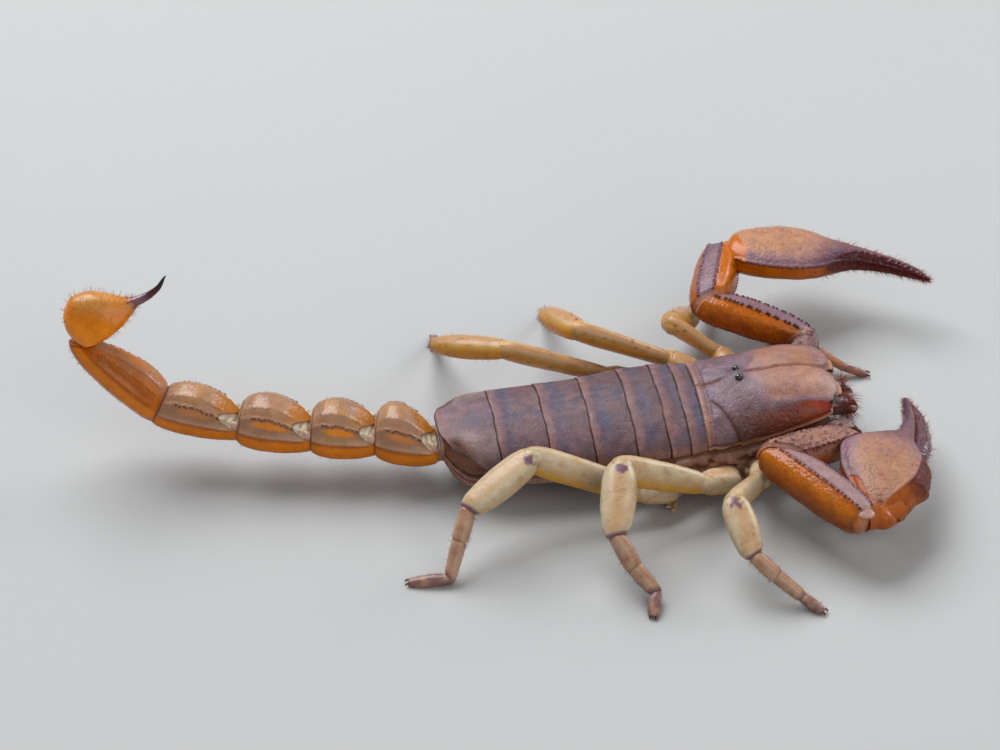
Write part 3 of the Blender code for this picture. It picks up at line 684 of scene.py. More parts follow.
def back_plate(number):
    """One tergite: it starts under the plate before it and ends in a slightly raised paler rim."""
    front, rear = TERGITE_EDGES[number], TERGITE_EDGES[number + 1]
    length = front - rear + TUCK
    last = number == 6

    def section(x):
        """The trunk's section; the last plate narrows and its side margins rise towards the tail."""
        width, top, margin = trunk_at(x)
        end = smooth(-4.0, -8.9, x) * last
        high = smooth(-2.9, -7.0, x) * last
        return width * (1 - 0.28 * end), top - 0.3 * end, margin + 1.8 * high

    def front_edge(_):
        return front + TUCK

    def rear_edge(across):
        wavy = 0.05 * np.sin(7 * across + 3 * number) + 0.02 * np.sin(19 * across + number)
        rounded = 1.1 * across ** 4 if last else 0.2 * across ** 8 + wavy
        return rear - 0.04 + rounded

    def relief(s, across):
        back = (1 - s) * length  # distance from the rear edge
        behind = smooth(1.7, 0.2, back) if not last else 0.5 * smooth(0.5, 0.1, back)
        tucked = smooth(TUCK + 0.1, TUCK - 0.35, s * length)
        wave = 0.04 * np.sin(9 * across + 2 * number) + 0.03 * np.sin(23 * across + number)
        return (0.1 + 0.6 * wave) * behind - 0.32 * tucked + 0.04 * bell(across, 0, 0.05)

    shell, s, across, upper = plate(front_edge, rear_edge, section, relief,
                                    outer=max(26, int(length * 11)), thick=0.3, rough=0.5)
    grit = pebbles(shell.points, 0.26, seed=number)
    cloud = noise(shell.points, 1.7, seed=number, octaves=3)
    broad = noise(shell.points, 3.2, seed=number + 10, octaves=2)
    side = np.abs(across)
    back = (1 - s) * length  # distance from the rear edge
    ahead_of_rim = smooth(0.3, 0.9, back)
    shell.push(upper * (0.03 * grit * ahead_of_rim + 0.05 * cloud * ahead_of_rim))
    shell.paint(UMBER, 0.2 * smooth(-0.1, 0.7, cloud) + 0.14 * (number < 4))
    # The lilac here and in the band below is partly the plates' bloom, partly a painted reflection of
    # the sky.
    shell.paint(LILAC, 0.3 if number > 3 else 0.15)
    band = smooth(1.3, 0.1, back + 0.4 * cloud + 0.4 * broad) * (0.75 + 0.25 * smooth(0.3, 0.8, side))
    slate = smooth(0.3, 1.5, back) * smooth(0.98, 0.85, side) * smooth(-0.9, 0.8, cloud + 0.6 * broad)
    slate = slate * (1 - 0.75 * smooth(1.6, 3.2, back))
    shell.coats(
        (SLATE, 0.95 * slate * (1 - band)),
        (UMBER, 0.12 * (1 - band) * smooth(1.6, 3.0, back + 0.5 * cloud)),
        (LILAC, 0.3 * smooth(0.5, 0.9, side) * smooth(0.2, -0.4, cloud)),
        (PINK, 0.4 * band),
        (LILAC, 0.75 * band * smooth(-0.5, 0.3, broad + cloud)),
        (TAN, 0.15 * band * smooth(0.0, 0.5, noise(shell.points, 0.9, seed=number + 50))),
        (SHELL_PINK, 0.2 * smooth(0.35, 0.1, back) * smooth(-0.3, 0.4, cloud)),
    )
    if 2 < number < 6:  # the broad plates have pale marks along the middle
        marks = smooth(-0.2, 0.5, noise(shell.points * (0.8, 1.7, 1), 1.0, seed=20 + number, octaves=3))
        shell.paint(SLATE, 0.45 * (1 - marks) * smooth(0.4, 0.1, side) * smooth(0.8, 1.4, back))
        shell.paint(TAN, 0.16 * marks * smooth(0.45, 0.12, side) * smooth(0.6, 1.3, back))
    if last:
        # On the last plate the lilac is partly bloom, partly a painted reflection of the sky, and the
        # ivory on its sides is painted light that lightens them where they lie in shade.
        shell.paint(LILAC, 0.6 * smooth(0.0, 0.8, cloud + 0.4))
        shell.paint(PINK, 0.65 * smooth(0.1, 0.8, s) * smooth(-0.5, 0.3, broad))
        shell.paint(SLATE, 0.6 * bell(s, 0.45, 0.22) * bell(across, -0.15, 0.3))
        shell.paint(IVORY, 0.13 * smooth(0.3, 0.7, side) * smooth(0.95, 0.6, s))
        for corner in (-0.864, 0.864):
            shell.paint(UMBER, bell(s, 0.84, 0.18) * bell(across, corner, 0.16)
                        * smooth(-0.5, 0.0, cloud + 0.5 * broad))
    shell.paint(SHELL_PINK, 0.4 * smooth(0.955, 0.995, side) * (not last))
    shell.paint(SEAM, 0.85 * smooth(0.05, 0.0, back), rough=0.5)
    shell.paint(SEAM, 0.9 * smooth(TUCK + 0.04, TUCK - 0.08, s * length))
    shell.paint(SEAM, 1 - upper)
    shell.mottle(0.5, 0.14, seed=number)
    shell.finish(f"back_plate_{number + 1}", PLATES, "back_plates", f"tergite_{number + 1}")


def furrow(x, y, path, width):
    """How deep a point lies in a furrow along a path of (x, y) points, 0 to 1."""
    nearest = np.full(np.shape(x), 99.0)
    path = vec(path)
    for start, end in zip(path[:-1], path[1:]):
        run = end - start
        t = np.clip(((x - start[0]) * run[0] + (y - start[1]) * run[1]) / (run @ run), 0, 1)
        away = (x - start[0] - t * run[0]) ** 2 + (y - start[1] - t * run[1]) ** 2
        nearest = np.minimum(nearest, away)
    return np.exp(-nearest / width ** 2)


# Lines on the shield: (x, distance from the middle).
SIDE_FURROW = ((21.4, 3.0), (21.9, 3.7), (22.3, 4.4), (22.8, 5.3), (23.2, 6.1), (23.9, 6.9))
FLANK_FURROW = ((23.0, 5.6), (24.0, 5.4), (25.4, 5.9))
EYE_FURROW = ((25.4, 1.0), (24.4, 1.7), (23.0, 2.1))
LOBE_EDGE = ((25.6, 0.6), (26.6, 2.6), (28.2, 4.1), (30.5, 4.6), (33.4, 4.4), (35.2, 3.6))
SIDE_EYES = ((34.3, 5.2), (34.95, 4.6), (35.2, 3.9))


def midline(x, y):
    """Distance from the shield's slightly wavy middle line."""
    return y + 0.06 * np.sin(2.1 * x)


def carapace_shell():
    """The head shield: two smooth front lobes, grooves, the eyes' mound and granular flanks."""
    rear_x = TERGITE_EDGES[0]

    def front_edge(across):
        y = across * CARAPACE[-1][1]
        return 36.1 - 0.95 * bell(y, 0, 0.9) - 1.2 * smooth(0.5, 1.0, np.abs(across)) ** 2

    def rear_edge(across):
        return rear_x - 0.1 + 0.3 * across ** 6

    def forms(s, across):
        x = front_edge(across) + (rear_edge(across) - front_edge(across)) * s
        y = across * carapace_at(x)[0]
        side, near = np.abs(y), y < 0
        cleft = bell(midline(x, y), 0, 0.16 + 0.3 * smooth(33, 36, x))
        return (0.2 * smooth(25.4, 27.5, x) * bell(side, 2.1, 1.7)  # the two front lobes
                - 0.34 * smooth(24.9, 26.3, x) * cleft
                - 0.32 * bell(midline(x, y), 0, 0.2) * smooth(23.9, 22.8, x)
                - 0.12 * bell(side, 0.0, 1.3) * bell(x, 22.3, 1.2)
                + 0.34 * bell(x, EYE_X, 1.3) * bell(y, 0, 1.3)  # the mound under the eyes
                - 0.05 * furrow(x, side, EYE_FURROW, 0.18)
                - (0.06 + 0.06 * near) * furrow(x, side, SIDE_FURROW, 0.1)
                + 0.09 * furrow(x - 0.4, side + 0.3, SIDE_FURROW, 0.35)
                - 0.06 * near * furrow(x, side, FLANK_FURROW, 0.12)
                + 0.12 * bell(x, 21.6, 0.9) * smooth(4.0, 5.2, side)
                - 0.05 * furrow(x, side, LOBE_EDGE, 0.4)
                + 0.17 * bell(x, rear_x + 0.25, 0.3)  # the rear rim and the groove before it
                - 0.16 * bell(x, rear_x + 0.85, 0.22)
                - 0.6 * smooth(0.045, 0.0, s))

    shell, s, across, upper = plate(front_edge, rear_edge, carapace_at, forms, outer=180,
                                    thick=0.4, rough=0.36, columns=230)
    x, y, z = (shell.points[..., i] for i in range(3))
    side = np.abs(y)
    over_margin = z - carapace_at(x)[2]
    front = smooth(0.03, 0.006, s)
    rim = np.maximum(smooth(0.3, 0.16, over_margin) * (side > 4), front)
    cloud = noise(shell.points, 1.8, seed=5, octaves=3)
    fine = noise(shell.points, 0.45, seed=9, octaves=3)
    furrowed = furrow(x, side, SIDE_FURROW, 0.3)
    flank = smooth(4.6, 5.5, side + 0.3 * cloud) * smooth(22.6, 23.8, x - 0.25 * (side - 5))
    lobes = smooth(25.2, 27.2, x - 0.3 * side) * smooth(5.3, 4.3, side + 0.3 * cloud)
    grit = pebbles(shell.points, 0.36, seed=3)
    fine_grit = pebbles(shell.points, 0.2, seed=4)
    corner = smooth(30.2, 32.2, x + 0.4 * cloud) * smooth(34.8, 34.5, x) * smooth(5.0, 5.3, side)
    rugged = flank * (1 - corner) * (1 - rim)
    shell.push(upper * (rugged * (0.07 * grit + 0.08 * fine) + 0.03 * fine_grit * (1 - lobes)
                        + 0.012 * fine_grit + 0.04 * fine * smooth(27, 22, x)))
    shell.push(upper * 0.13 * rim - upper * 0.13 * bell(over_margin, 0.4, 0.1) * (side > 4))
    shell.coats(
        # The lilac on the top and the lobes is partly the shield's bloom, partly a painted reflection of
        # the sky; the blush on the near lobe is a painted sheen.
        (LILAC, 0.75 * smooth(-0.6, 0.2, cloud) * (1 - flank)),
        (SLATE, 0.45 * smooth(27, 23, x) * smooth(-0.1, 0.6, fine + cloud)),
        (TAN, 0.7 * lobes * smooth(0.15, 0.75, lobes + 0.3 * cloud)),
        (PINK, 0.55 * lobes * smooth(-0.4, 0.4, cloud)),
        (LILAC, 0.4 * bell(side, 4.9, 0.6) * smooth(26, 28, x) + 0.3 * lobes * bell(x, 27, 1)),
        (LILAC, 0.5 * lobes * smooth(32.0, 35.0, x + 0.6 * cloud)),
        (BLUSH, 0.3 * lobes * (y < 0) * smooth(29.5, 33.0, x) * bell(side, 2.6, 1.4)),
        (DUSK, 0.85 * flank),
        (UMBER, 0.4 * flank * smooth(4.8, 6.2, side + 0.6 * cloud), 0.46),
        (LILAC, 0.35 * flank * smooth(5.8, 5.0, side + 0.4 * cloud)),
        (MAROON, 0.15 * flank * smooth(5.2, 6.2, side) * smooth(24, 27, x)),
        (RUST, 0.6 * flank * smooth(23, 30, x) * smooth(5.0, 6.0, side)),
        (UMBER, 0.4 * rugged * (1 - grit)),
        # the red front corners, the row of small eyes on them, and the middle line
        (EMBER, corner, 0.32, 0.15),
        (DEEP_AMBER, 0.3 * corner * smooth(33.4, 31.4, x)),
        (SEAM, 0.35 * corner * smooth(-0.4, 0.4, fine)),
        (DUSK, 0.9 * smooth(34.5, 34.9, x) * smooth(3.9, 4.4, side)),
        (BLACK, 0.95 * furrow(x, side, SIDE_EYES, 0.15), 0.12),
        (SHELL_PINK, 0.6 * bell(y, 0, 0.2) * smooth(24.3, 23.4, x)),
        (TAN, 0.8 * bell(y, 0, 0.18) * smooth(25.2, 26.5, x)),
        (UMBER, 0.9 * bell(midline(x, y), 0.0, 0.06) * smooth(25.2, 26.3, x)),
        (UMBER, 0.5 * bell(y, 0.0, 0.06) * smooth(23.9, 23.4, x)),
    )
    mound = bell(x, EYE_X, 0.75) * np.maximum(bell(side, EYE_SIDE, 0.5), 0.6 * bell(side, 0, 0.7))
    shell.paint(BLACK, 0.8 * mound)
    marked = 0.4 + 0.6 * (y < 0)
    shell.coats(
        (UMBER, marked * (0.95 * furrow(x, side, SIDE_FURROW, 0.1) + 0.12 * furrowed)),
        (UMBER, 0.6 * (y < 0) * furrow(x, side, FLANK_FURROW, 0.08)),
        # the pale rims
        (PINK, 0.7 * smooth(rear_x + 1.3, rear_x + 0.3, x) * smooth(2.5, 6.8, side)),
        (SHELL_PINK, 0.5 * bell(x, rear_x + 0.28, 0.28) + 0.15 * bell(x, rear_x + 0.9, 0.3)),
        (UMBER, 0.8 * bell(over_margin, 0.38, 0.09) * (side > 4) * (1 - front)),
        (TAN, 0.9 * rim, 0.35, 0.2),
        (SEAM, smooth(rear_x + 0.08, rear_x - 0.04, x)),
        (UMBER, 1 - upper),
    )
    shell.mottle(0.45, 0.12, seed=6)
    shell.finish("carapace_shell", SHIELD, "head_shield", "carapace")
    return shell


def dome(centre, radii, colour, rough, up=(0, 0, 1), sides=32, rings=20):
    """A smooth rounded knob: an ellipsoid with its pole along up."""
    up = unit(up)
    side = unit(np.cross(up, (0.3, 1.0, 0.2)))
    ahead = np.cross(up, side)
    lat = np.linspace(-0.97, 0.97, rings)[:, None] * np.pi / 2
    turn = 2 * np.pi * np.arange(sides)[None, :] / sides
    wide, deep, high = radii
    points = (vec(centre) + (wide * np.cos(lat) * np.cos(turn))[..., None] * side
              + (deep * np.cos(lat) * np.sin(turn))[..., None] * ahead
              + (high * np.sin(lat) * np.ones_like(turn))[..., None] * up)
    return Shell(points, lat / np.pi + 0.5, turn, colour, rough, 0.3)


def eyes(shield):
    """The two middle eyes, each set into its side of the mound."""
    for name, side in (("right", -1), ("left", 1)):
        away = np.hypot(shield.points[..., 0] - EYE_X, shield.points[..., 1] - side * EYE_SIDE)
        seat = shield.points[..., 2][away < 0.3].max()
        lens = dome((EYE_X, side * EYE_SIDE, seat - 0.1), (0.42, 0.42, 0.36), BLACK, 0.08,
                    up=(0.1, side * 0.35, 1))
        lens.finish(f"eye_dome_{name}", LENS, "eyes", f"eye_{name}")


def flank_skin(stations, top, brim, low, upper_half, lower_half, power):
    """A skin along the trunk: narrow above the brim, under the plates, and full below it.

    All but power are values at the stations. Returned: the Shell, and how high each point of a
    section is, from -1 at the belly to 1 at the back.
    """
    angle = np.linspace(0, 2 * np.pi, 176, endpoint=False)[None, :]
    across, over = superellipse(angle, power)
    below = smooth(0.03, -0.12, over)
    half = (upper_half[:, None] * (1 - below) + lower_half[:, None] * below) * across
    reach = np.where(over > 0, (top - brim)[:, None], (brim - low)[:, None])
    height = brim[:, None] + reach * over
    points = np.stack(np.broadcast_arrays(stations[:, None], half, height), axis=-1)
    return Shell(points, np.linspace(0, 1, len(stations))[:, None], angle, FLESH, 0.5), over


def belly_skin():
    """The soft flanks with their pleats, and the belly plates under them, as one skin."""
    stations = np.linspace(-8.9, 14.2, 220)
    width, top, margin = trunk_at(stations)
    low = BELLY_LOW + 0.9 * np.clip((-6.0 - stations) / 4.0, 0, 1)
    tail_end = smooth(-4.0, -8.9, stations)
    shell, over = flank_skin(stations, top - 0.6 - 0.5 * tail_end, margin - 0.15, low,
                             width - 0.85 - 0.3 * tail_end, width - 0.2, 2.6)
    shrink = 1 - 0.85 * (np.clip(-5.6 - stations, 0, 3.3)[:, None] / 3.3) ** 3
    shell.points[..., 1] *= shrink
    shell.points[..., 2] = 5.0 + (shell.points[..., 2] - 5.0) * shrink
    x, half = shell.points[..., 0], shell.points[..., 1]
    side = smooth(-0.02, -0.15, over) * smooth(-0.95, -0.75, over)
    cloud = noise(shell.points * (0.35, 1, 1), 1.2, seed=11, octaves=3)
    fold = np.sin(30 * over + 4 * cloud + 0.3 * x)
    crest_highlight = smooth(0.3, 1.0, fold)
    shell.push(side * (0.16 * fold - 0.1) - 0.3 * bell(over, -0.16, 0.07))
    edges = vec((12.0, 7.4, 2.5, -2.9))
    seam = np.exp(-((x[..., None] - edges) / 0.16) ** 2).max(axis=-1)
    under = smooth(-0.8, -0.93, over)
    slit = np.max([bell(x, edge + 2.0, 0.18) * bell(np.abs(half), 4.3, 0.9) for edge in edges],
                  axis=0)
    shell.push(-under * (0.14 * seam + 0.12 * slit))
    shell.coats(
        (PINK, 0.75 * side * smooth(8, -2, x)),
        (UMBER, 0.6 * smooth(-0.6, -0.1, over + 0.1 * cloud) * smooth(-1, -4, x)),
        (RUST, 0.4 * smooth(-0.8, -0.5, over) * smooth(2, -5, x)),
        (UMBER, 0.85 * bell(over, -0.14, 0.12) * smooth(5, -3, x)),
        # Umber in the troughs of the pleats is painted shade, and blush on their crests a painted
        # highlight.
        (UMBER, 0.7 * side * smooth(0.0, -0.9, fold)),
        (BLUSH, 0.4 * side * crest_highlight),
        (TAN, 0.6 * under),
        (UMBER, under * np.maximum(0.6 * seam, 0.8 * slit)),
    )
    shell.mottle(0.8, 0.2, seed=12)
    shell.finish("belly_skin", MEMBRANE, "belly_cream", "belly")


def prosoma_skin():
    """The soft body under the head shield: folded flanks over the roots of the legs."""
    stations = np.linspace(12.6, 34.6, 220)
    ahead = stations > 20
    width, top, margin = (np.where(ahead, shield, trunk)
                          for shield, trunk in zip(carapace_at(stations), trunk_at(stations)))
    inset = curve((12.6, 15, 18, 22, 26, 29, 31, 34.6), (0.4, -0.9, -1.6, -1.8, -1.7, -0.3, 0.9, 2.0),
                  stations)
    low = curve((12.6, 24.6, 27.5, 30.5, 34.6), (2.2, 2.3, 3.0, 5.4, 6.9), stations)
    brim = margin - 0.2
    shell, over = flank_skin(stations, top - 1.0, brim, np.minimum(low, brim - 0.15),
                             width - 1.0 - np.maximum(inset, -0.4), width - 0.3 - inset, 2.4)
    x = shell.points[..., 0]
    side = smooth(0.02, -0.12, over)
    cloud = noise(shell.points * (0.6, 1, 1), 1.5, seed=14, octaves=3)
    lumps = pebbles(shell.points * (0.7, 1, 1) + 0.2 * cloud[..., None], 1.9, seed=15)
    fold = np.sin(15 * over + 4.5 * cloud + 1.2 * np.sin(1.1 * x))
    shell.push(side * (0.2 * fold + 0.35 * lumps + 0.1 * cloud - 0.1))
    shell.coats(
        (SHELL_PINK, 0.6 * smooth(23, 30, x) * side),
        # Ivory on the crests of the lumpy folds is a painted highlight; umber in their troughs and
        # between the lumps is painted shade.
        (IVORY, 0.45 * side * lumps * smooth(0.0, 0.7, fold)),
        (UMBER, 0.75 * side * smooth(0.25, -0.7, fold)),
        (UMBER, 0.6 * side * smooth(0.35, 0.05, lumps)),
        (RUST, 0.35 * smooth(-0.5, -0.15, over + 0.1 * cloud)),
        (UMBER, 0.6 * smooth(-0.45, -0.1, over + 0.1 * cloud)),
    )
    shell.mottle(0.7, 0.2, seed=15)
    piece = Piece("prosoma_skin").add(shell)
    for number, (along, out) in enumerate(((21.5, 7.3), (24.3, 7.2), (24.3, -7.2), (21.5, -7.3))):
        lump = dome((along, out, 2.8), (1.5, 1.3, 2.0), FLESH, 0.5, up=(0.15, np.sign(out), 0.35),
                    sides=56, rings=44)
        fine = noise(lump.points, 0.8, seed=17 + number, octaves=3)
        lump.push(0.12 * fine + 0.08 * np.sin(22 * lump.along + 2 * fine))
        lump.paint(SHELL_PINK, 0.5)
        # Umber in the troughs of the ripples is painted shade.
        lump.paint(UMBER, 0.7 * smooth(0.2, -0.7, np.sin(22 * lump.along + 2 * fine)))
        piece.add(lump)
    piece.finish(MEMBRANE, "belly_cream", "prosoma_core")


def sternum_plates():
    """The plates between the roots of the legs."""
    stations = np.linspace(13.7, 31.6, 90)
    half, low, top = table(((13.7, 0.9, 1.9, 4.0), (17.0, 1.4, 1.7, 4.1), (24.6, 1.4, 1.6, 4.2),
                            (28.2, 1.4, 2.0, 4.6), (31.6, 1.0, 3.0, 4.7)), stations)
    angle = np.linspace(0, 2 * np.pi, 48, endpoint=False)[None, :]
    across, over = superellipse(angle, 2.6)
    middle, tall = ((top + low) / 2)[:, None], ((top - low) / 2)[:, None]
    points = np.stack(np.broadcast_arrays(stations[:, None], half[:, None] * across,
                                          middle + tall * over), axis=-1)
    shell = Shell(points, np.linspace(0, 1, 90)[:, None], angle, TAN, 0.4)
    seam = bell(stations, 16.6, 0.12) + bell(stations, 20.4, 0.12) + bell(stations, 24.9, 0.12)
    shell.push(-0.15 * seam[:, None] - 0.12 * bell(across, 0, 0.1))
    shell.paint(UMBER, 0.7 * seam[:, None])
    shell.mottle(0.6, 0.2, seed=16)
    shell.finish("sternum_plates", LIMB, "belly_cream", "sternum")


def combs():
    """The pectines: a flat stem with a fringe of teeth on its rear edge."""
    for name, side in (("right", -1), ("left", 1)):
        start, end = vec((18.6, side * 1.2, 1.1)), vec((15.8, side * 10.6, 0.7))
        stem = tube(start, end, (0, 0, 1), [(0, 0.55, 0.28, 0.28), (0.5, 0.6, 0.28, 0.28),
                                            (1, 0.3, 0.2, 0.2)], sides=24, rings=40,
                    colour=CREAM, rough=0.45)
        stem.push(-0.05 * np.abs(np.sin(9 * stem.along)))
        piece = Piece(f"comb_{name}").add(stem)
        rear = vec((-1.0, -side * 0.25, -0.04))
        for t in np.linspace(0.06, 0.94, 18):
            root = start + (end - start) * t + rear * 0.3
            piece.add(tube(root, root + rear * (0.95 - 0.35 * t), (0, 0, 1),
                           [(0, 0.15, 0.14, 0.14), (0.6, 0.2, 0.18, 0.16), (1, 0.08, 0.08, 0.08)],
                           sides=12, rings=10, colour=CREAM, rough=0.4, dish=False))
        piece.finish(LIMB, "belly_cream", f"pecten_{name}")


# --- tail ----------------------------------------------------------------------------------------

TAIL_ROWS = (
    (0.0, 0.68, 0.40, 0.74), (0.1, 0.84, 0.52, 0.86), (0.28, 0.97, 0.76, 0.95),
    (0.46, 1.03, 1.03, 0.99), (0.63, 1.05, 1.17, 0.99), (0.8, 1.0, 1.12, 0.94),
    (0.92, 0.9, 0.95, 0.86), (1.0, 0.76, 0.7, 0.72),
)
LAST_ROWS = (
    (0.0, 0.76, 0.74, 0.8), (0.12, 0.98, 1.0, 0.98), (0.38, 1.06, 1.1, 1.02),
    (0.66, 0.94, 0.9, 0.9), (0.88, 0.7, 0.58, 0.62), (1.0, 0.42, 0.34, 0.36),
)
ROW_ANGLE = 0.84  # the row of dark granules, measured from the top of a section
OVALS = (0.45, 0.8, 0.75, 0.35, 0.0)  # how clear the gold oval is on each segment
BAND_ANGLE = 1.43  # the keel between the tan upper side and the amber under side


def tail_ring(number, hairs):
    """One tail segment: keels, granule rows, the amber under side and the pale front joint."""
    joints = TAIL_JOINTS
    before = joints[number - 1] if number else TRUNK_END
    after = joints[number + 2] if number < 4 else BULB_END
    last = number == 4
    up = (0.62, -0.1, 0.78) if last else (0.0, 0.0, 1.0)
    rows = bulging(TAIL_RADII[number], LAST_ROWS if last else TAIL_ROWS)
    shell = tube(joints[number], joints[number + 1], up, rows, before, after, sides=144,
                 rings=120, power=2.15, gap=-0.5, colour=AMBER, rough=0.24, grain=0.5)
    t, down = shell.along, from_top(shell)
    cloud = noise(shell.points, 2.0, seed=30 + number, octaves=3)
    ripple = noise(shell.points, 0.7, seed=35 + number, octaves=2)
    edge = 0.02 + (0.05 if last else 0.26) * bell(down, ROW_ANGLE - 0.06, 0.48)
    soft = smooth(edge + 0.012, edge - 0.012, t)
    body = smooth(0.06, 0.2, t) * smooth(0.99, 0.92, t)
    keels = (0.05 * bell(down, 0.4, 0.14) + 0.1 * bell(down, ROW_ANGLE, 0.08)
             + 0.14 * bell(down, BAND_ANGLE, 0.1) + 0.08 * bell(down, 2.1, 0.12))
    shell.push(body * (keels * (0.6 if last else 1.0) + 0.05 * cloud)
               - 0.1 * bell(down, 0, 0.25) * body - 0.1 * body * bell(down, 1.14, 0.16))
    notch = smooth(0.06, 0.14, edge)
    shell.push(-0.16 * soft * notch + 0.06 * bell(t, edge + 0.03, 0.02) * (t > edge)
               + 0.07 * soft * notch * np.sin(60 * t + 3 * ripple))
    grit = pebbles(shell.points, 0.3, seed=36)
    shell.push(0.03 * grit * body * smooth(1.5, 1.2, down))
    tan = smooth(BAND_ANGLE + 0.08, BAND_ANGLE - 0.05, down)
    if last:
        tan = tan * smooth(0.85, 0.35, down + 0.15 * cloud)
    # The fawn, pink and tan of the upper side are partly its colour, partly a painted reflection of the
    # sky.
    shell.paint(FAWN, (0.95 if not last else 0.4) * tan)
    shell.paint(PINK, 0.5 * tan * smooth(-0.5, 0.4, cloud))
    shell.paint(TAN, 0.4 * tan * smooth(0.2, 0.8, ripple))
    if not last:
        patch = smooth(0.42, 0.28, t + 0.1 * cloud) * smooth(0.6, 0.4, down)
        shell.paint(DEEP_AMBER, 0.9 * patch, rough=0.3)
        shell.paint(YELLOW, 0.3 * patch)
        oval = smooth(0.25, 0.75, bell(down, 1.03, 0.16) * bell(t, 0.57, 0.27) + 0.12 * ripple)
        shell.paint(GOLD, OVALS[number] * oval)
        shell.paint(UMBER, 0.15 * tan * bell(down, 0.62, 0.12) * body)
    else:
        shell.paint(FAWN, 0.3 * smooth(-0.3, 0.4, ripple) * smooth(1.4, 0.9, down))
        shell.paint(UMBER, 0.25 * bell(down, 1.14, 0.14) * body)
    shell.coats(
        (RUST, 0.55 * bell(down, BAND_ANGLE + 0.1, 0.06) * body),
        (BLUSH, 0.45 * bell(down, BAND_ANGLE - 0.03, 0.04) * body * (not last)),
        # Gold on the lower sides is partly their amber, partly painted light that lightens them in
        # shade.
        (GOLD, 0.5 * smooth(BAND_ANGLE, BAND_ANGLE + 0.2, down) * smooth(2.4, 1.8, down)),
        (DEEP_AMBER, 0.6 * smooth(2.0, 2.9, down + 0.3 * cloud)),
        (DEEP_AMBER, 0.4 * smooth(0.2, 0.7, cloud) * (1 - tan)),
        (PLUM, 0.6 * bell(t, edge + 0.008, 0.012) * notch),
        (IVORY, 0.95 * soft * notch, 0.42),
        (PINK, 0.6 * soft * notch * smooth(0.1, 0.8, ripple)),
    )
    shell.mottle(1.2, 0.12, seed=40 + number)
    for mirrored in (1, -1):
        for angle, first, end, count, size in ((ROW_ANGLE, 0.3, 0.8, 13, 0.11),
                                               (0.42, 0.3, 0.9, 18, 0.03),
                                               (BAND_ANGLE, 0.2, 0.92, 18, 0.05)):
            if last:
                first, end, count = 0.14, 0.84, 26
            radius = 0.19 if angle == ROW_ANGLE and not last else 0.16
            raised = shell.row_of_knobs(first, end, np.pi / 2 + mirrored * angle, count, radius,
                                        size, seed=number)
            strength = 0.4 if last else 1.0 if angle == ROW_ANGLE else 0.25
            shell.paint(MAROON, strength * raised)
    shell.paint(UMBER, 0.75 * bell(t, 0.975, 0.012) * smooth(2.8, 2.0, down))
    shell.finish(f"tail_ring_{number + 1}", TAIL, "tail_amber", f"tail_{number + 1}")
    ahead = unit(vec(joints[number + 1]) - vec(joints[number]))
    hairs.plant(shell, body * (0.3 + smooth(1.6, 2.2, down)), 110 if last else 40, 0.5,
                0.5 * ahead, RUST, (0.02 + 0.19 * number, 0.02, 0.17, 0.4), thick=0.022)


def tail_membranes():
    """Pale folded skin inside each joint of the tail, with a condyle on either side."""
    piece = Piece("tail_membranes")
    joints = (TRUNK_END,) + TAIL_JOINTS + (BULB_END,)
    radii = (TAIL_RADII[0],) + TAIL_RADII + (1.6,)
    for number in range(1, 7):
        here = vec(joints[number])
        following = unit(vec(joints[number + 1]) - here)
        axis = unit(unit(here - vec(joints[number - 1])) + following)
        half = min(radii[number - 1], radii[number]) * 0.72
        top = half * (0.42 if number < 5 else 0.8)
        skin = tube(here - axis * 0.9, here + axis * 0.9, (0.1, 0, 1), [(0, half, top, half),
                    (1, half, top, half)], sides=64, rings=30, colour=BLUSH, rough=0.5)
        skin.push(0.06 * np.sin(30 * skin.along) + 0.06 * noise(skin.points, 0.6, seed=number))
        skin.paint(UMBER, 0.5)
        piece.add(skin)
        side = unit(np.cross((0, 0, 1), axis))
        rise = np.cross(axis, side) * (1 if np.cross(axis, side)[2] > 0 else -1)
        for way, out, lift in ((-1, 0.9, 0.0), (1, 0.98, 0.3)):
            spot = here + side * way * half * out + following * 0.5 + rise * half * lift
            knob = dome(spot, (0.5, 0.28, 0.65), BLUSH, 0.3, up=rise + 0.5 * following)
            knob.paint(AMBER, 0.8 * smooth(0.45, 0.1, knob.along))
            piece.add(knob)
    neck = vec(joints[6]) + (1.0, -0.4, 0.2)
    piece.add(dome(neck, (0.45, 0.4, 0.4), MAROON, 0.3))
    piece.finish(MEMBRANE, "belly_cream")


def swept(path, radii, colour, rough, sides=24, rings=48):
    """A smooth horn along a path, its radius read from the path's own points."""
    path = vec(path)
    knots = np.concatenate([[0], np.cumsum(np.linalg.norm(np.diff(path, axis=0), axis=1))])
    knots /= knots[-1]
    t = np.linspace(0, 1, rings)
    straight = np.stack([np.interp(t, knots, path[:, i]) for i in range(3)], axis=1)
    bent = np.stack([curve(knots, path[:, i], t) for i in range(3)], axis=1)
    middle = 0.7 * bent + 0.3 * straight
    ahead = unit(np.gradient(middle, axis=0))
    side = unit(np.cross(ahead, (0.1, 0.9, 0.3)))
    up = np.cross(side, ahead)
    radius = curve(knots, radii, t)[:, None, None]
    turn = 2 * np.pi * np.arange(sides) / sides
    ring = np.cos(turn)[None, :, None] * side[:, None] + np.sin(turn)[None, :, None] * up[:, None]
    return Shell(middle[:, None] + radius * ring, t[:, None], turn[None, :], colour, rough, 0.3)


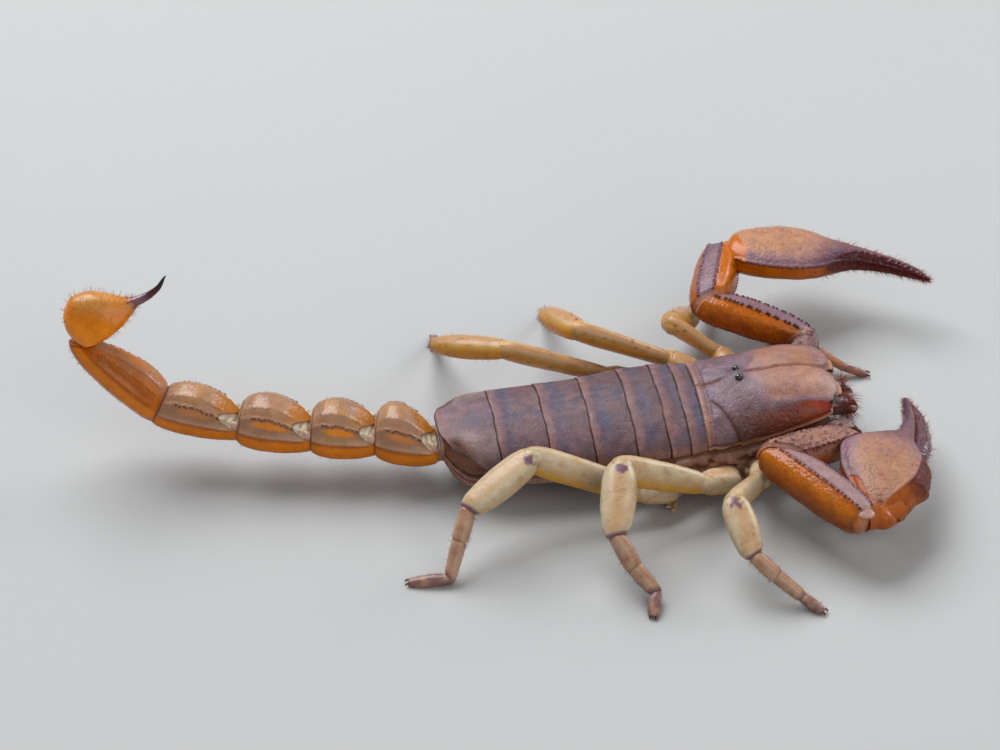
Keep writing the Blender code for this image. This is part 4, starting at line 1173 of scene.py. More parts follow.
def sting(hairs):
    """The pear-shaped bulb and the dark sting that curves up from it."""
    rows = (
        (0.0, 1.15, 1.5, 0.3), (0.1, 1.9, 3.0, 0.6), (0.26, 2.4, 4.3, 0.9), (0.44, 2.5, 4.9, 1.1),
        (0.62, 2.2, 4.3, 1.1), (0.8, 1.5, 2.5, 0.9), (0.93, 0.9, 1.1, 0.65), (1.0, 0.58, 0.58, 0.5),
    )
    bulb = tube(TAIL_JOINTS[-1], BULB_END, BULB_OUT, rows, before=BULB_NECK, sides=120, rings=110,
                gap=0.08, colour=AMBER, rough=0.22, grain=0.5)
    t = bulb.along
    cloud = noise(bulb.points, 2.2, seed=50, octaves=3)
    fine = noise(bulb.points, 0.8, seed=52, octaves=2)
    bulb.push(0.05 * cloud - 0.08 * bell(from_top(bulb), 2.0, 0.12) * smooth(0.1, 0.3, t))
    height = bulb.points[..., 2]
    bulb.coats(
        (HONEY, 0.8 * smooth(18.6, 21.4, height + 0.6 * cloud)),
        (FAWN, 0.3 * smooth(20.2, 22.2, height + 0.8 * cloud)),
        # Gold low on the bulb is partly its amber, partly painted light that lightens the under side in
        # shade.
        (GOLD, 0.95 * smooth(20.8, 18.0, height + 0.5 * cloud)),
        (DEEP_AMBER, 0.15 * smooth(0.0, 0.7, fine)),
        (RUST, 0.8 * smooth(0.07, 0.02, t)),
        (PLUM, 0.7 * smooth(0.9, 1.0, t)),
    )
    bulb.mottle(1.0, 0.1, seed=51)
    bulb.finish("sting_bulb", TAIL, "tail_amber", "bulb")
    path = (vec(BULB_END) - (0.5, 0, 0.12),) + STING + ((-36.9, 12.0, 22.78),)
    tip = swept(path, (0.56, 0.55, 0.44, 0.3, 0.08, 0.02), PLUM, 0.18, sides=40, rings=70)
    tip.paint(PINK, 0.55 * smooth(0.45, 0.15, tip.along))
    tip.paint(MAROON, smooth(0.25, 0.55, tip.along))
    tip.paint(BLACK, smooth(0.5, 0.85, tip.along))
    tip.finish("sting_tip", TIPS, "dark_tips", "sting")
    hairs.plant(bulb, smooth(0.1, 0.3, t), 260, 0.8, (0.3, 0, 0.3), RUST, (0.02, 0.5, 0.4, 0.4),
                thick=0.022)


# --- legs ----------------------------------------------------------------------------------------

def stain(shell, spot, radius, colour, strength, seed, ragged=0.5):
    """A ragged mark round a point of space."""
    away = np.linalg.norm(shell.points - vec(spot), axis=-1) / radius
    away = away + ragged * noise(shell.points, radius * 0.6, seed=seed, octaves=2)
    shell.paint(colour, strength * smooth(1.0, 0.45, away))


def leg_part(start, end, up, rows, before, after, colour, sides=64, rings=56):
    """One segment of a leg."""
    return tube(start, end, up, rows, before, after, sides=sides, rings=rings, gap=0.02,
                colour=colour, rough=0.3, grain=0.6, dish=False)


def paint_leg(shell, seed, edge, far):
    """Cream above, yellow along the lower edge; the far legs tanner, with fine dark strokes."""
    down = from_top(shell)
    cloud = noise(shell.points, 1.6, seed=seed, octaves=3)
    shell.push(0.03 * cloud)
    low = 0.3 if far else 1.7
    shell.coats(
        (IVORY, 0.6 * bell(down, 1.0, 0.6) * smooth(0.5, 0.0, cloud) * (not far)),
        (TAN, 0.2 * smooth(-0.1, 0.7, cloud) + 0.25 * smooth(0.5, 0.1, down)),
        (HONEY, 0.4 * far),
        (YELLOW, (0.75 if far else 1.0) * edge * smooth(low, low + 0.8, down + 0.3 * cloud)),
        (AMBER, (0.15 if far else 0.5) * edge * smooth(low + 0.9, low + 1.6, down + 0.3 * cloud)),
    )
    if far:
        shell.paint(GOLD, 0.25 * smooth(low + 0.5, low + 1.1, down + 0.3 * cloud))
        shell.paint(TAN, 0.45 * smooth(0.6, 0.25, down))
        shell.paint(RUST, 0.25 * bell(down, 0.45, 0.3) * smooth(-0.3, 0.4, cloud))
    strokes = noise(shell.points * (1.0, 2.5, 2.5), 0.8, seed=seed + 1, octaves=3)
    shell.paint(UMBER, (0.6 if far else 0.25) * smooth(0.36, 0.5, strokes))
    shell.mottle(0.9, 0.08, seed=seed + 2)


def claws(toe, heel, piece):
    """Two curved claws at the end of a foot."""
    ahead = unit((vec(toe) - vec(heel)) * (1, 1, 0.2))
    side = unit(np.cross((0, 0, 1), ahead))
    for way in (-1, 1):
        root = vec(toe) - ahead * 0.35 + side * way * 0.18 + (0, 0, 0.1)
        path = (root, root + ahead * 0.35 + side * way * 0.14 + (0, 0, 0.14),
                root + ahead * 0.62 + side * way * 0.16 + (0, 0, 0.02),
                root + ahead * 0.66 + side * way * 0.14 - (0, 0, 0.2))
        path = [np.maximum(point, (-1e3, -1e3, 0.06)) for point in path]
        claw = swept(path, (0.13, 0.12, 0.08, 0.03), UMBER, 0.2, sides=12, rings=20)
        claw.paint(BLACK, smooth(0.5, 1.0, claw.along))
        claw.points[..., 2] = np.maximum(claw.points[..., 2], 0.0)
        piece.add(claw)


# Rows of the leg's segments, as shares of the half width of the femur, the shin or the foot.
THIGH_ROWS = ((0.0, 0.5, 0.62, 0.6), (0.08, 0.54, 0.76, 0.74), (0.4, 0.58, 0.94, 0.92),
              (0.75, 0.66, 1.0, 1.0), (0.88, 0.66, 0.9, 0.92), (0.95, 0.56, 0.7, 0.74),
              (0.985, 0.36, 0.42, 0.46), (1.0, 0.12, 0.12, 0.14))
CALF_ROWS = ((0.0, 0.12, 0.1, 0.1), (0.02, 0.4, 0.36, 0.36), (0.06, 0.66, 0.58, 0.58),
             (0.14, 0.86, 0.74, 0.74), (0.28, 1.0, 0.82, 0.8), (0.52, 1.04, 0.86, 0.88),
             (0.86, 0.86, 0.74, 0.76), (0.96, 0.66, 0.6, 0.6), (1.0, 0.54, 0.5, 0.5))
TIBIA_ROWS = ((0.0, 0.78, 0.86, 0.8), (0.12, 0.94, 1.02, 0.92), (0.6, 1.0, 1.1, 1.0),
              (0.92, 0.98, 1.02, 0.94), (1.0, 0.88, 0.92, 0.86))
FIRST_ROWS = ((0.0, 0.8, 0.84, 0.8), (0.12, 0.88, 0.92, 0.88), (0.85, 0.78, 0.84, 0.78),
              (1.0, 0.62, 0.66, 0.62))
LAST_FOOT_ROWS = ((0.0, 0.6, 0.62, 0.6), (0.3, 0.72, 0.75, 0.72), (0.8, 0.66, 0.6, 0.85),
                  (1.0, 0.45, 0.42, 0.6))
FOOT_SHARE = 0.52  # the foot's half width beside the shin's
YELLOW_EDGES = (0.3, 0.85, 0.95, 0.9, 0.5, 0.3, 0.1, 0.4, 0.2)  # their strength on each skin
KNEE_SPOTS = (((0, 0, 0), 0.85), ((-0.5, 0, -0.8), 0.6), ((0.5, 0, -0.9), 0.45),
              ((0.7, 0, 0.4), 0.45), ((-0.7, 0, 0.4), 0.35))  # they make up the violet mark


def leg_skins(joints, pair, near, half):
    """The nine skins of a leg: seven segments from the root to the toe, the knee and the hip."""
    coxa, trochanter, femur, knee, shin, ankle, heel, toe = joints
    wide, foot = COXA_HALF[pair], FOOT_SHARE * half
    thick = FEMUR_HALF[pair] * (0.92 if not near and pair in "34" else 1)
    up = (0.0, 0.0, 1.0)
    lean = (0.0, FEMUR_LEAN if near else -FEMUR_LEAN, 1.0)
    root = leg_part(coxa, trochanter, up,
                    [(0.0, 0.8, 0.8, 0.8), (0.45, wide * 0.7, 1.0, 1.2), (0.8, wide * 0.8, 1.0, 1.3),
                     (1.0, 1.3, 1.1, 1.25)], None, femur, FLESH)
    bulb = leg_part(trochanter, femur, up,
                    [(0.0, 1.35, 1.25, 1.25), (0.35, 1.55, 1.4, 1.4), (0.8, 1.35, 1.3, 1.3),
                     (1.0, 1.1, 1.1, 1.1)], coxa, knee, CREAM)
    thigh = leg_part(femur, knee + 0.62 * half * unit(knee - femur), lean,
                     bulging(thick, THIGH_ROWS), trochanter, None, CREAM, rings=84)
    calf = leg_part(knee - 0.5 * half * unit(shin - knee), shin, up, bulging(half, CALF_ROWS),
                    None, ankle, CREAM, rings=84)
    tibia = leg_part(shin, ankle, up, bulging(foot, TIBIA_ROWS), knee, heel, FLESH, 48, 44)
    first = leg_part(ankle, heel, up, bulging(foot, FIRST_ROWS), shin, toe, FLESH, 40, 36)
    last = leg_part(heel, toe, up, bulging(foot, LAST_FOOT_ROWS), ankle, None, FLESH, 40, 36)
    bend = unit(2 * knee - shin - femur)
    knee_cap = dome(knee - 0.1 * half * bend, (0.76 * half, 0.74 * half, 0.9 * half), CREAM, 0.3,
                    up=unit(shin - femur), sides=48, rings=36)
    hip = dome(femur, (1.08, 1.08, 1.0), CREAM, 0.4, up=unit(knee - femur))
    return [root, bulb, thigh, calf, tibia, first, last, knee_cap, hip]


def mark_leg(shells, joints, near, half, seed):
    """The marks at a leg's joints, and the browner foot."""
    femur, knee = joints[2:4]
    root, bulb, thigh, calf, tibia, first, last, knee_cap = shells[:8]
    outward = vec((0, -1 if near else 1, 0))
    to_camera = unit(vec((-0.1, -0.75, 0.6)) if near else outward)
    for shell in (thigh, calf, knee_cap):
        for place, radius in KNEE_SPOTS:
            stain(shell, knee + to_camera * 0.75 * half + vec(place) * half / 1.8, radius, PLUM,
                  0.9, seed, 0.8)
    stain(bulb, femur + outward * 1.0 + (0, 0, 0.4), 1.0, BLUSH, 0.5, seed)
    vee = bell(bulb.along, 0.93 - 0.35 * bell(from_top(bulb), 1.1, 0.35), 0.02)
    bulb.push(-0.05 * vee)
    bulb.paint(RUST, 0.55 * vee)
    root.paint(SHELL_PINK, 0.6)
    root.paint(UMBER, 0.7 * smooth(0.3, 0.9, noise(root.points, 0.9, seed=seed + 7, octaves=3) + 0.4
                                   * np.sin(28 * root.along)))
    thigh.paint(UMBER, 0.35 * smooth(0.02, 0.0, thigh.along))
    calf.paint(PLUM, 0.8 * smooth(0.95, 0.985, calf.along))
    tibia.paint(PLUM, 0.7 * smooth(0.06, 0.0, tibia.along))
    for shell, brown in ((tibia, 0.4), (first, 0.5), (last, 0.5)):
        blotch = smooth(0.0, 0.5, noise(shell.points, 0.7, seed=seed + 5, octaves=3))
        shell.paint(SHELL_PINK, brown)
        shell.paint(UMBER, 0.2 * brown + 0.25 * blotch)
        shell.paint(RUST, 0.35 * (not near))
    first.paint(PLUM, 0.6 * smooth(0.8, 1.0, first.along))
    last.paint(PLUM, 0.1 + 0.5 * smooth(-0.3, 0.3, noise(last.points, 0.6, seed=seed, octaves=2)))
    last.paint(UMBER, 0.1)


def leg(name, joints, hairs):
    """A whole leg in one piece, with its joint marks, claws and hairs."""
    joints = [vec(joint) for joint in joints]
    shin, ankle, heel, toe = joints[4:]
    pair, near = name[-1], name.startswith("right")
    seed = 100 + 10 * int(pair) + near
    half = SHIN_HALF[pair] * (0.8 if not near and pair in "34" else 1)
    foot = FOOT_SHARE * half
    shells = leg_skins(joints, pair, near, half)
    for number, (shell, edge) in enumerate(zip(shells, YELLOW_EDGES)):
        paint_leg(shell, seed + 3 * number, edge, not near)
    mark_leg(shells, joints, near, half, seed)
    calf, tibia, first, last = shells[3:7]
    for spot, size in ((shin, 0.82), (ankle, 0.84), (heel, 0.6)):
        shells.append(dome(spot, (foot * size,) * 3, PLUM if size < 0.84 else FLESH, 0.4))
    piece = Piece(f"leg_{name}_skin")
    for shell in shells:
        shell.points[..., 2] = np.maximum(shell.points[..., 2], 0.0)
        piece.add(shell)
    claws(toe, heel, piece)
    piece.finish(LIMB, "leg_cream", *(f"leg_{name}_{part}" for part in ("thigh", "shin", "foot")))
    row = list(LEGS).index(name) / 8
    planted = ((calf, 40, 0.6), (tibia, 80, 0.6), (first, 70, 0.5), (last, 70, 0.4))
    for number, (shell, count, length) in enumerate(planted):
        high = shell.points[..., 2] > 0.4
        hairs.plant(shell, (0.2 + smooth(1.2, 2.4, from_top(shell))) * high, count, length,
                    0.6 * unit(toe - shin) * (1, 1, 0.2), RUST,
                    (number / 4 + 0.01, row + 0.005, 0.22, 0.11), thick=0.02)


# --- pedipalps -----------------------------------------------------------------------------------

HAND_LENGTH, MOVER_START, MOVER_END = 23.6, 9.4, 23.3


def hand_axis(name):
    """The root of the hand, and the direction from it to the finger tips."""
    root, tip = vec(PALPS[name][5]), vec(PALPS[name][6])
    return root, unit(tip - root)


def hand_section(name, rows, start, end, sides, rings):
    """Skin of the hand or the moving finger between two distances from the root of the hand."""
    root, axis = hand_axis(name)
    length = np.linalg.norm(vec(PALPS[name][6]) - root)
    wrist, palm = HAND_TUCK[name]
    x = start + (end - start) * np.linspace(0, 1, 90) ** 1.4
    width, top, bottom, shift = table(rows, x)
    shift = shift + wrist * bell(x, 0, 3.5) + palm * bell(x, 8.5, 3.5)
    rise = HAND_ARCH[name] * np.sin(np.pi * np.clip(x, 0, length) / length)
    rows = np.stack([(x - start) / (end - start), width, top, bottom, shift * OUTWARD[name], rise],
                    axis=1)
    return tube(root + axis * start, root + axis * end, PALP_UPS[name]["hand"], rows, sides=sides,
                rings=rings, power=2.2, colour=AMBER, rough=0.24, grain=0.3, dish=False)


def palm_shell(name):
    """The palm with its fixed finger: a finely granular upper disc over glossy amber sides."""
    sign, near = OUTWARD[name], name == "right"
    start = HAND_ROWS[name][0][0]
    shell = hand_section(name, HAND_ROWS[name], start, HAND_LENGTH, 208, 270)
    x = start + shell.along * (HAND_LENGTH - start)
    out, high = np.cos(shell.round) * sign, np.sin(shell.round)
    cloud = noise(shell.points, 1.6, seed=60, octaves=3)
    palm = smooth(start + 0.3, start + 1.5, x) * smooth(12.8, 10.5, x)
    finger = smooth(9.5, 13.0, x)
    above = smooth(0.22, 0.34, high)
    root, axis = hand_axis(name)
    sideways = unit(np.cross(PALP_UPS[name]["hand"], axis)) * sign
    lateral = (shell.points - root) @ sideways  # distance outwards from the hand's axis
    if near:
        ridge = curve((-1.3, 0.6, 3, 5.5, 8.4, 10.4, 12, 16, 23.6),
                      (0.4, 1.1, 2.4, 3.4, 3.6, 3.0, 2.3, 1.9, 0.6), x)
        above = above * smooth(ridge + 0.12, ridge - 0.12, lateral)
        inner = curve((-1.3, 0.4, 2.0, 3.6, 5, 23.6), (0.3, -0.6, -1.6, -2.8, -9, -9), x)
    else:
        inner = curve((0, 0.8, 1.7, 2.5, 3.1, 23.6), (0.5, -1.0, -2.4, -3.6, -9, -9), x)
    above = above * smooth(inner - 0.1, inner + 0.1, lateral)
    if near:
        shell.points[..., 2] -= 0.7 * smooth(0.0, 2.2, lateral - ridge) * (high > 0) * palm
    grit = pebbles(shell.points, 0.4, seed=61)
    coarse = pebbles(shell.points, 0.5, seed=62)
    edge = smooth(0.5, 0.85, np.abs(out) + 0.1 * cloud) * above
    wall = smooth(0.1, 0.5, out) * smooth(-0.75, -0.3, high) * smooth(2.0, 5.0, x) * (1 - above)
    shell.push(above * (0.08 * grit + 0.04 * coarse * edge) * np.maximum(palm, finger))
    shell.push(0.03 * cloud + 0.07 * coarse * wall * (1 - above) * near)
    shell.push(0.16 * bell(high, 0.3, 0.09) * smooth(1, 2.5, x) * smooth(23, 15, x) * (out < 0))
    shell.push(-0.12 * bell(high, -0.05, 0.14) * palm * (out < 0))
    pit = bell(x, 0.2, 0.3) * bell(lateral, 0.5, 0.35) * (high > 0) * near
    shell.push(-0.3 * pit)
    if near:
        shell.push(0.18 * bell(lateral, ridge - 0.1, 0.25) * (high > 0) * smooth(1, 3, x))
    shell.coats(
        # the amber sides, and the granular outer wall
        (DEEP_AMBER, 0.7 * smooth(-0.2, -0.7, high)),
        (DEEP_AMBER, 0.35 * smooth(-0.3, 0.5, cloud)),
        (RUST, (0.6 if near else 0.25) * smooth(3.0, 9.0, x)),
        (RUST, 0.4 * near, 0.5),
        (UMBER, 0.2 * near * smooth(-0.4, 0.5, cloud)),
        (UMBER, 0.5 * wall * near),
        (MAROON, wall * smooth(2.5, 6.5, x + 1.5 * cloud), 0.5, 0.8),
        (RUST, 0.45 * wall * smooth(0.2, 0.7, coarse) * smooth(3.0, 6.0, x)),
        # the disc above: tan on the palm, lilac at its edge and on the finger; the lilac is partly
        # bloom, partly a painted reflection of the sky
        (TAN, above, 0.52, 0.9),
        (PINK, 0.3 * above * smooth(-0.3, 0.6, cloud)),
        (FAWN, 0.4 * above * smooth(0.2, -0.5, cloud)),
        (DUSK, 0.2 * above * near),
        (LILAC, 0.4 * above * smooth(6.5, 12, x + 2 * cloud)),
        (LILAC, 0.7 * edge),
        (PLUM, 0.4 * edge * smooth(0.75, 0.95, np.abs(out))),
        (DUSK, 0.7 * above * finger),
        (RUST, 0.4 * above * finger * (not near) * smooth(-0.5, 0.4, cloud)),
        (PLUM, 0.25 * above * finger),
        # Plum between the grains is painted shade.
        (PLUM, 0.36 * above * smooth(0.45, 0.1, grit) * (1 - 0.4 * finger)),
    )
    face = -0.97 + 0.75 * smooth(11.0, 16.0, x)
    face = smooth(face, face - 0.1, out) if not near else smooth(0.34, 0.2, high)
    shell.coats(
        (MAROON, face * smooth(10.6, 12.5, x), 0.28),
        (PLUM, 0.6 * above * finger * smooth(0.3, -0.1, out + 0.4) * (1 - face)),
        (RUST, 0.35 * smooth(0.3, 0.1, high) * bell(high, -0.25, 0.25) * finger),
        (MAROON, 0.6 * smooth(18, 23, x)),
        (UMBER, 0.8 * pit),
    )
    mesal = 0.0 if near else np.pi
    crest = mesal + (0.28 if near else -0.28)
    raised = shell.row_of_knobs(0.06, 0.6, crest, 40, 0.19, 0.15, seed=63)
    raised = np.maximum(raised, shell.row_of_knobs(0.6, 0.93, crest, 24, 0.13, 0.08, seed=64))
    shell.paint(MAROON, raised, rough=0.25)
    teeth = shell.row_of_knobs(0.5, 0.97, mesal - 0.2 * sign, 34, 0.1, 0.08, seed=65)
    shell.paint(BLACK, 0.6 * teeth)
    shell.mottle(0.4, 0.06, seed=66)
    shell.finish(f"palp_{name}_hand_shell", CLAW, "claw_amber", f"palp_{name}_hand")
    return shell, finger, palm


def moving_finger(name):
    """The movable finger: dark and glossy, with two rows of knobs on its upper outer side."""
    sign = OUTWARD[name]
    mover = hand_section(name, FINGER_ROWS[name], MOVER_START, MOVER_END, 80, 130)
    high = np.sin(mover.round)
    coarse = pebbles(mover.points, 0.36, seed=67)
    cloud = noise(mover.points, 1.2, seed=69, octaves=2)
    mover.push(0.05 * coarse * smooth(0.0, 0.6, high) * smooth(0.02, 0.1, mover.along))
    mover.paint(MAROON, 1.0, rough=0.26)
    mover.paint(RUST, 0.4 * smooth(-0.2, 0.7, cloud) * smooth(0.2, -0.3, high))
    mover.paint(DUSK, 0.9 * smooth(0.3, 0.6, high + 0.1 * cloud) * smooth(1.0, 0.7, mover.along))
    mover.paint(PLUM, 0.3 * smooth(0.3, 0.8, high))
    for angle in (0.5, 1.2):
        turn = angle if sign > 0 else np.pi - angle
        raised = mover.row_of_knobs(0.05, 0.9, turn, 30, 0.12, 0.08, seed=68)
        mover.paint(BLACK, 0.5 * raised)
    mover.mottle(0.5, 0.12, seed=69)
    mover.finish(f"palp_{name}_moving_finger", TIPS, "dark_tips", f"palp_{name}_finger")
    return mover


def hand(name, hairs, room):
    """The palm and both fingers, with the hairs on them."""
    shell, finger, palm = palm_shell(name)
    mover = moving_finger(name)
    ahead = hand_axis(name)[1]
    u, v, wide, tall = room
    high = np.sin(shell.round)
    side = smooth(0.35, 0.1, high) * smooth(-0.9, -0.5, high)
    rim = bell(high, 0.25, 0.15) * (np.cos(shell.round) * OUTWARD[name] > 0)
    hairs.plant(shell, side * finger + 0.25 * rim * palm + 0.01 * palm, 620, 0.8, ahead * 0.7,
                RUST, (u, v, wide, tall / 2), thick=0.026)
    hairs.plant(mover, smooth(0.05, 0.2, mover.along), 360, 0.8, ahead * 0.7, RUST,
                (u, v + tall / 2, wide, tall / 2), thick=0.026)


def keeled_part(shell, sign, seed, half, strip, size, dots=0.0, brown=0.3):
    """A granular strip above, between rows of dark beads; glossy faces, brown outside.

    half is the strip's half width as an angle, strip its colour and size the beads' radius; dots
    is how dark the warts on a warty strip are.
    """
    t, down = shell.along, from_top(shell)
    out = np.cos(shell.round) * sign
    cloud = noise(shell.points, 1.5, seed=seed, octaves=3)
    body = smooth(0.03, 0.12, t) * smooth(0.98, 0.9, t)
    above = smooth(half + 0.07, half - 0.05, down)
    grit = pebbles(shell.points, 0.32, seed=seed + 1)
    warts, chance = grains(shell.points, 0.38, seed=seed + 6)
    outer = smooth(0.1, 0.6, out) * (1 - above)
    shell.push(body * (above * 0.05 * grit + 0.14 * bell(down, half, 0.08)
                       + 0.12 * bell(down, 2.1, 0.1) - 0.06 * bell(down, half + 0.35, 0.18)
                       + 0.05 * grit * outer) + 0.05 * cloud)
    shell.coats(
        (AMBER, 1.0, 0.2, 0.4),
        (DEEP_AMBER, 0.85 * smooth(1.0, 2.0, down + 0.3 * cloud)),
        (RUST, 0.3 * (1 - above) * smooth(0.0, 0.7, cloud)),
        (UMBER, brown * outer + 0.2 * outer * (1 - grit), 0.26),
        # Tan on the outer face beside the strip is a painted highlight; a lilac strip is partly bloom,
        # partly a painted reflection of the sky.
        (TAN, 0.3 * outer * smooth(1.3, 0.8, down) * smooth(0.1, 0.6, cloud)),
        (strip, above, 0.42, 1.0),
        (PINK, 0.4 * above * smooth(-0.2, 0.6, cloud)),
        (DUSK, 0.55 * above * (1 - grit)),
        (PLUM, 0.5 * bell(down, half - 0.06, 0.1) * (1 - 0.7 * dots)),
    )
    if dots:
        spots = smooth(0.6, 0.9, warts) * smooth(0.3, 0.4, chance)
        wide = smooth(1.35, 1.15, down)
        shell.push(0.09 * spots * wide * body)
        shell.paint(PINK, 0.9 * wide, rough=0.5)
        shell.paint(TAN, 0.35 * wide * smooth(-0.3, 0.4, cloud))
        shell.paint(MAROON, 0.75 * dots * spots * wide)
    shell.paint(SHELL_PINK, 0.85 * smooth(0.07, 0.02, t) + 0.7 * smooth(0.955, 1.0, t))
    shell.paint(UMBER, 0.6 * bell(t, 0.945, 0.012))
    for mirrored in (1, -1):
        raised = shell.row_of_knobs(0.08, 0.93, np.pi / 2 + mirrored * half, 19 + 5 * (size < 0.2),
                                    size, 0.68 * size, seed=seed + 2)
        shell.paint(MAROON, smooth(0.15, 0.6, raised), rough=0.22)
    low = shell.row_of_knobs(0.12, 0.9, np.pi / 2 + sign * 2.1, 20, 0.16, 0.09, seed=seed + 3)
    shell.paint(SEAM, 0.7 * low)
    shell.mottle(0.6, 0.1, seed=seed + 4)


def arm_root(name, joints):
    """The warty first two segments of a claw arm."""
    coxa, trochanter, femur, elbow = joints[:4]
    up = (0.0, 0.0, 1.0)
    base = tube(coxa, trochanter, up, [(0.0, 1.5, 1.2, 1.4), (0.5, 1.75, 1.6, 1.6),
                                       (1.0, 1.6, 1.6, 1.6)], None, femur, sides=88, rings=60,
                colour=PINK, rough=0.34)
    ball = tube(trochanter, femur, up, [(0.0, 1.55, 1.6, 1.55), (0.4, 1.75, 1.75, 1.7),
                                        (1.0, 1.2, 1.2, 1.2)], coxa, elbow, sides=88, rings=60,
                colour=PINK, rough=0.34)
    piece = Piece(f"palp_{name}_trochanter_shell")
    for number, part in enumerate((base, ball)):
        grit, chance = grains(part.points, 0.55, seed=70 + number)
        down = from_top(part)
        spots = smooth(0.5, 0.85, grit) * smooth(0.3, 0.45, chance)
        part.push(0.08 * spots + 0.15 * bell(down, 0.8, 0.15))
        part.paint(DUSK, 0.8 * smooth(1.4, 0.6, down))
        part.paint(PINK, 0.4 * smooth(1.3, 0.5, down) * smooth(0, 0.6, noise(part.points, 1.5, 7)))
        part.paint(DEEP_AMBER, 0.8 * smooth(1.3, 2.0, down))
        part.paint(MAROON, 0.75 * spots)
        part.mottle(0.6, 0.15, seed=72)
        piece.add(part)
    piece.finish(CLAW, "head_shield", f"palp_{name}_trochanter")


def arm_femur(name, joints):
    """The arm from the trochanter to the elbow: warty above on the right arm, lilac on the left."""
    trochanter, femur, elbow, wrist = joints[1:5]
    near = name == "right"
    upper = tube(femur, elbow, PALP_UPS[name]["femur"],
                 bulging(2.0, ((0.0, 0.5, 0.48, 0.54), (0.1, 0.74, 0.7, 0.8),
                               (0.4, 1.0, 0.93, 0.97), (0.75, 1.06, 1.0, 0.97),
                               (0.93, 0.94, 0.94, 0.88), (1.0, 0.74, 0.74, 0.7))),
                 trochanter, wrist, sides=136, rings=130, power=2.5, gap=0.12)
    keeled_part(upper, OUTWARD[name], 80 + 5 * near, 0.55 if near else 0.42,
                TAN if near else LILAC, 0.17 if near else 0.28, 0.9 * near, brown=0.1)
    upper.finish(f"palp_{name}_femur_shell", CLAW, "claw_amber", f"palp_{name}_femur")
    return upper


def arm_patella(name, joints):
    """The arm from the elbow to the wrist."""
    femur, elbow, wrist = joints[2:5]
    near = name == "right"
    lower = tube(elbow, wrist, PALP_UPS[name]["patella"],
                 bulging(2.3, ((0.0, 0.58, 0.58, 0.58), (0.1, 0.9, 0.86, 0.86),
                               (0.35, 1.06, 1.0, 1.0), (0.65, 1.02, 0.98, 1.0),
                               (0.88, 0.86, 0.86, 0.88), (0.96, 0.68, 0.68, 0.7),
                               (1.0, 0.36, 0.36, 0.38))),
                 femur, None, sides=144, rings=140, power=2.5, gap=0.12, dish=False)
    keeled_part(lower, OUTWARD[name], 90 + 5 * near, 0.42 if near else 0.34, LILAC, 0.18)
    # Blush along the top of the near patella is a painted reflection of the sky.
    lower.paint(BLUSH, 0.25 * near * smooth(0.4, 0.2, from_top(lower)))
    lower.paint(GOLD, 0.22 * near * bell(from_top(lower), 1.25, 0.45))
    lower.finish(f"palp_{name}_patella_shell", CLAW, "claw_amber", f"palp_{name}_patella")
    return lower


def arm_joints(name, joints):
    """Skin in the elbow and the shoulder, the neck of the hand, and small pale condyles."""
    femur, elbow, wrist, root = joints[2:6]
    near, along = name == "right", hand_axis(name)[1]
    outward = unit(np.cross((0, 0, 1), along)) * OUTWARD[name]
    inner_end = root + along * 2.4 + outward * (1.5 if near else -0.6)
    neck = tube(wrist - 1.0 * unit(wrist - elbow), inner_end, (0.0, 0.0, 1.0),
                [(0, 1.4, 1.3, 1.4), (0.4, 1.8 + 0.2 * near, 1.4, 1.6), (1, 1.8 + 0.7 * near, 1.4, 1.8)],
                sides=64, rings=40, colour=AMBER, rough=0.35)
    neck.paint(RUST, 0.35 * near)
    neck.paint(UMBER, 0.4 * near * smooth(1.2, 0.5, from_top(neck)))
    neck.paint(DEEP_AMBER, 0.8 * smooth(1.0, 2.2, from_top(neck)))
    piece = Piece(f"palp_{name}_joint_skins").add(neck)
    piece.add(dome(elbow, (1.3, 1.3, 1.35), BLUSH, 0.4, up=unit(femur - elbow)))
    piece.add(dome(femur, (1.2, 1.2, 1.15), PINK, 0.4, up=unit(femur - elbow)))
    condyles = [(elbow + (0, 0, 1.2), 0.6)]
    if near:
        hub = (wrist + root) / 2 + along * 0.2
        bend = unit(unit(elbow - wrist) + along)
        condyles = [(wrist + (-0.3, 0.2, 1.3), 1.0), (hub + bend * 0.5 + (0, 0, 1.1), 0.6)] + condyles
    for spot, size in condyles:
        knob = dome(spot, (size, size * 0.75, size * 0.4), PINK, 0.4)
        knob.paint(BLUSH, 0.7 * bell(knob.along, 0.6, 0.2))
        piece.add(knob)
    piece.finish(MEMBRANE, "belly_cream")


def palp(name, joints, hairs, room):
    """One claw arm, from its root under the shield to the hand."""
    joints = [vec(joint) for joint in joints]
    arm_root(name, joints)
    parts = arm_femur(name, joints), arm_patella(name, joints)
    arm_joints(name, joints)
    hand(name, hairs, room)
    u, v, wide, tall = room
    for number, part in enumerate(parts):
        hairs.plant(part, 0.05 + smooth(0.8, 1.4, from_top(part)), 90, 0.6,
                    0.4 * hand_axis(name)[1], RUST,
                    (u + wide + 0.01, v + number * tall / 2, 0.2, tall / 2), thick=0.026)


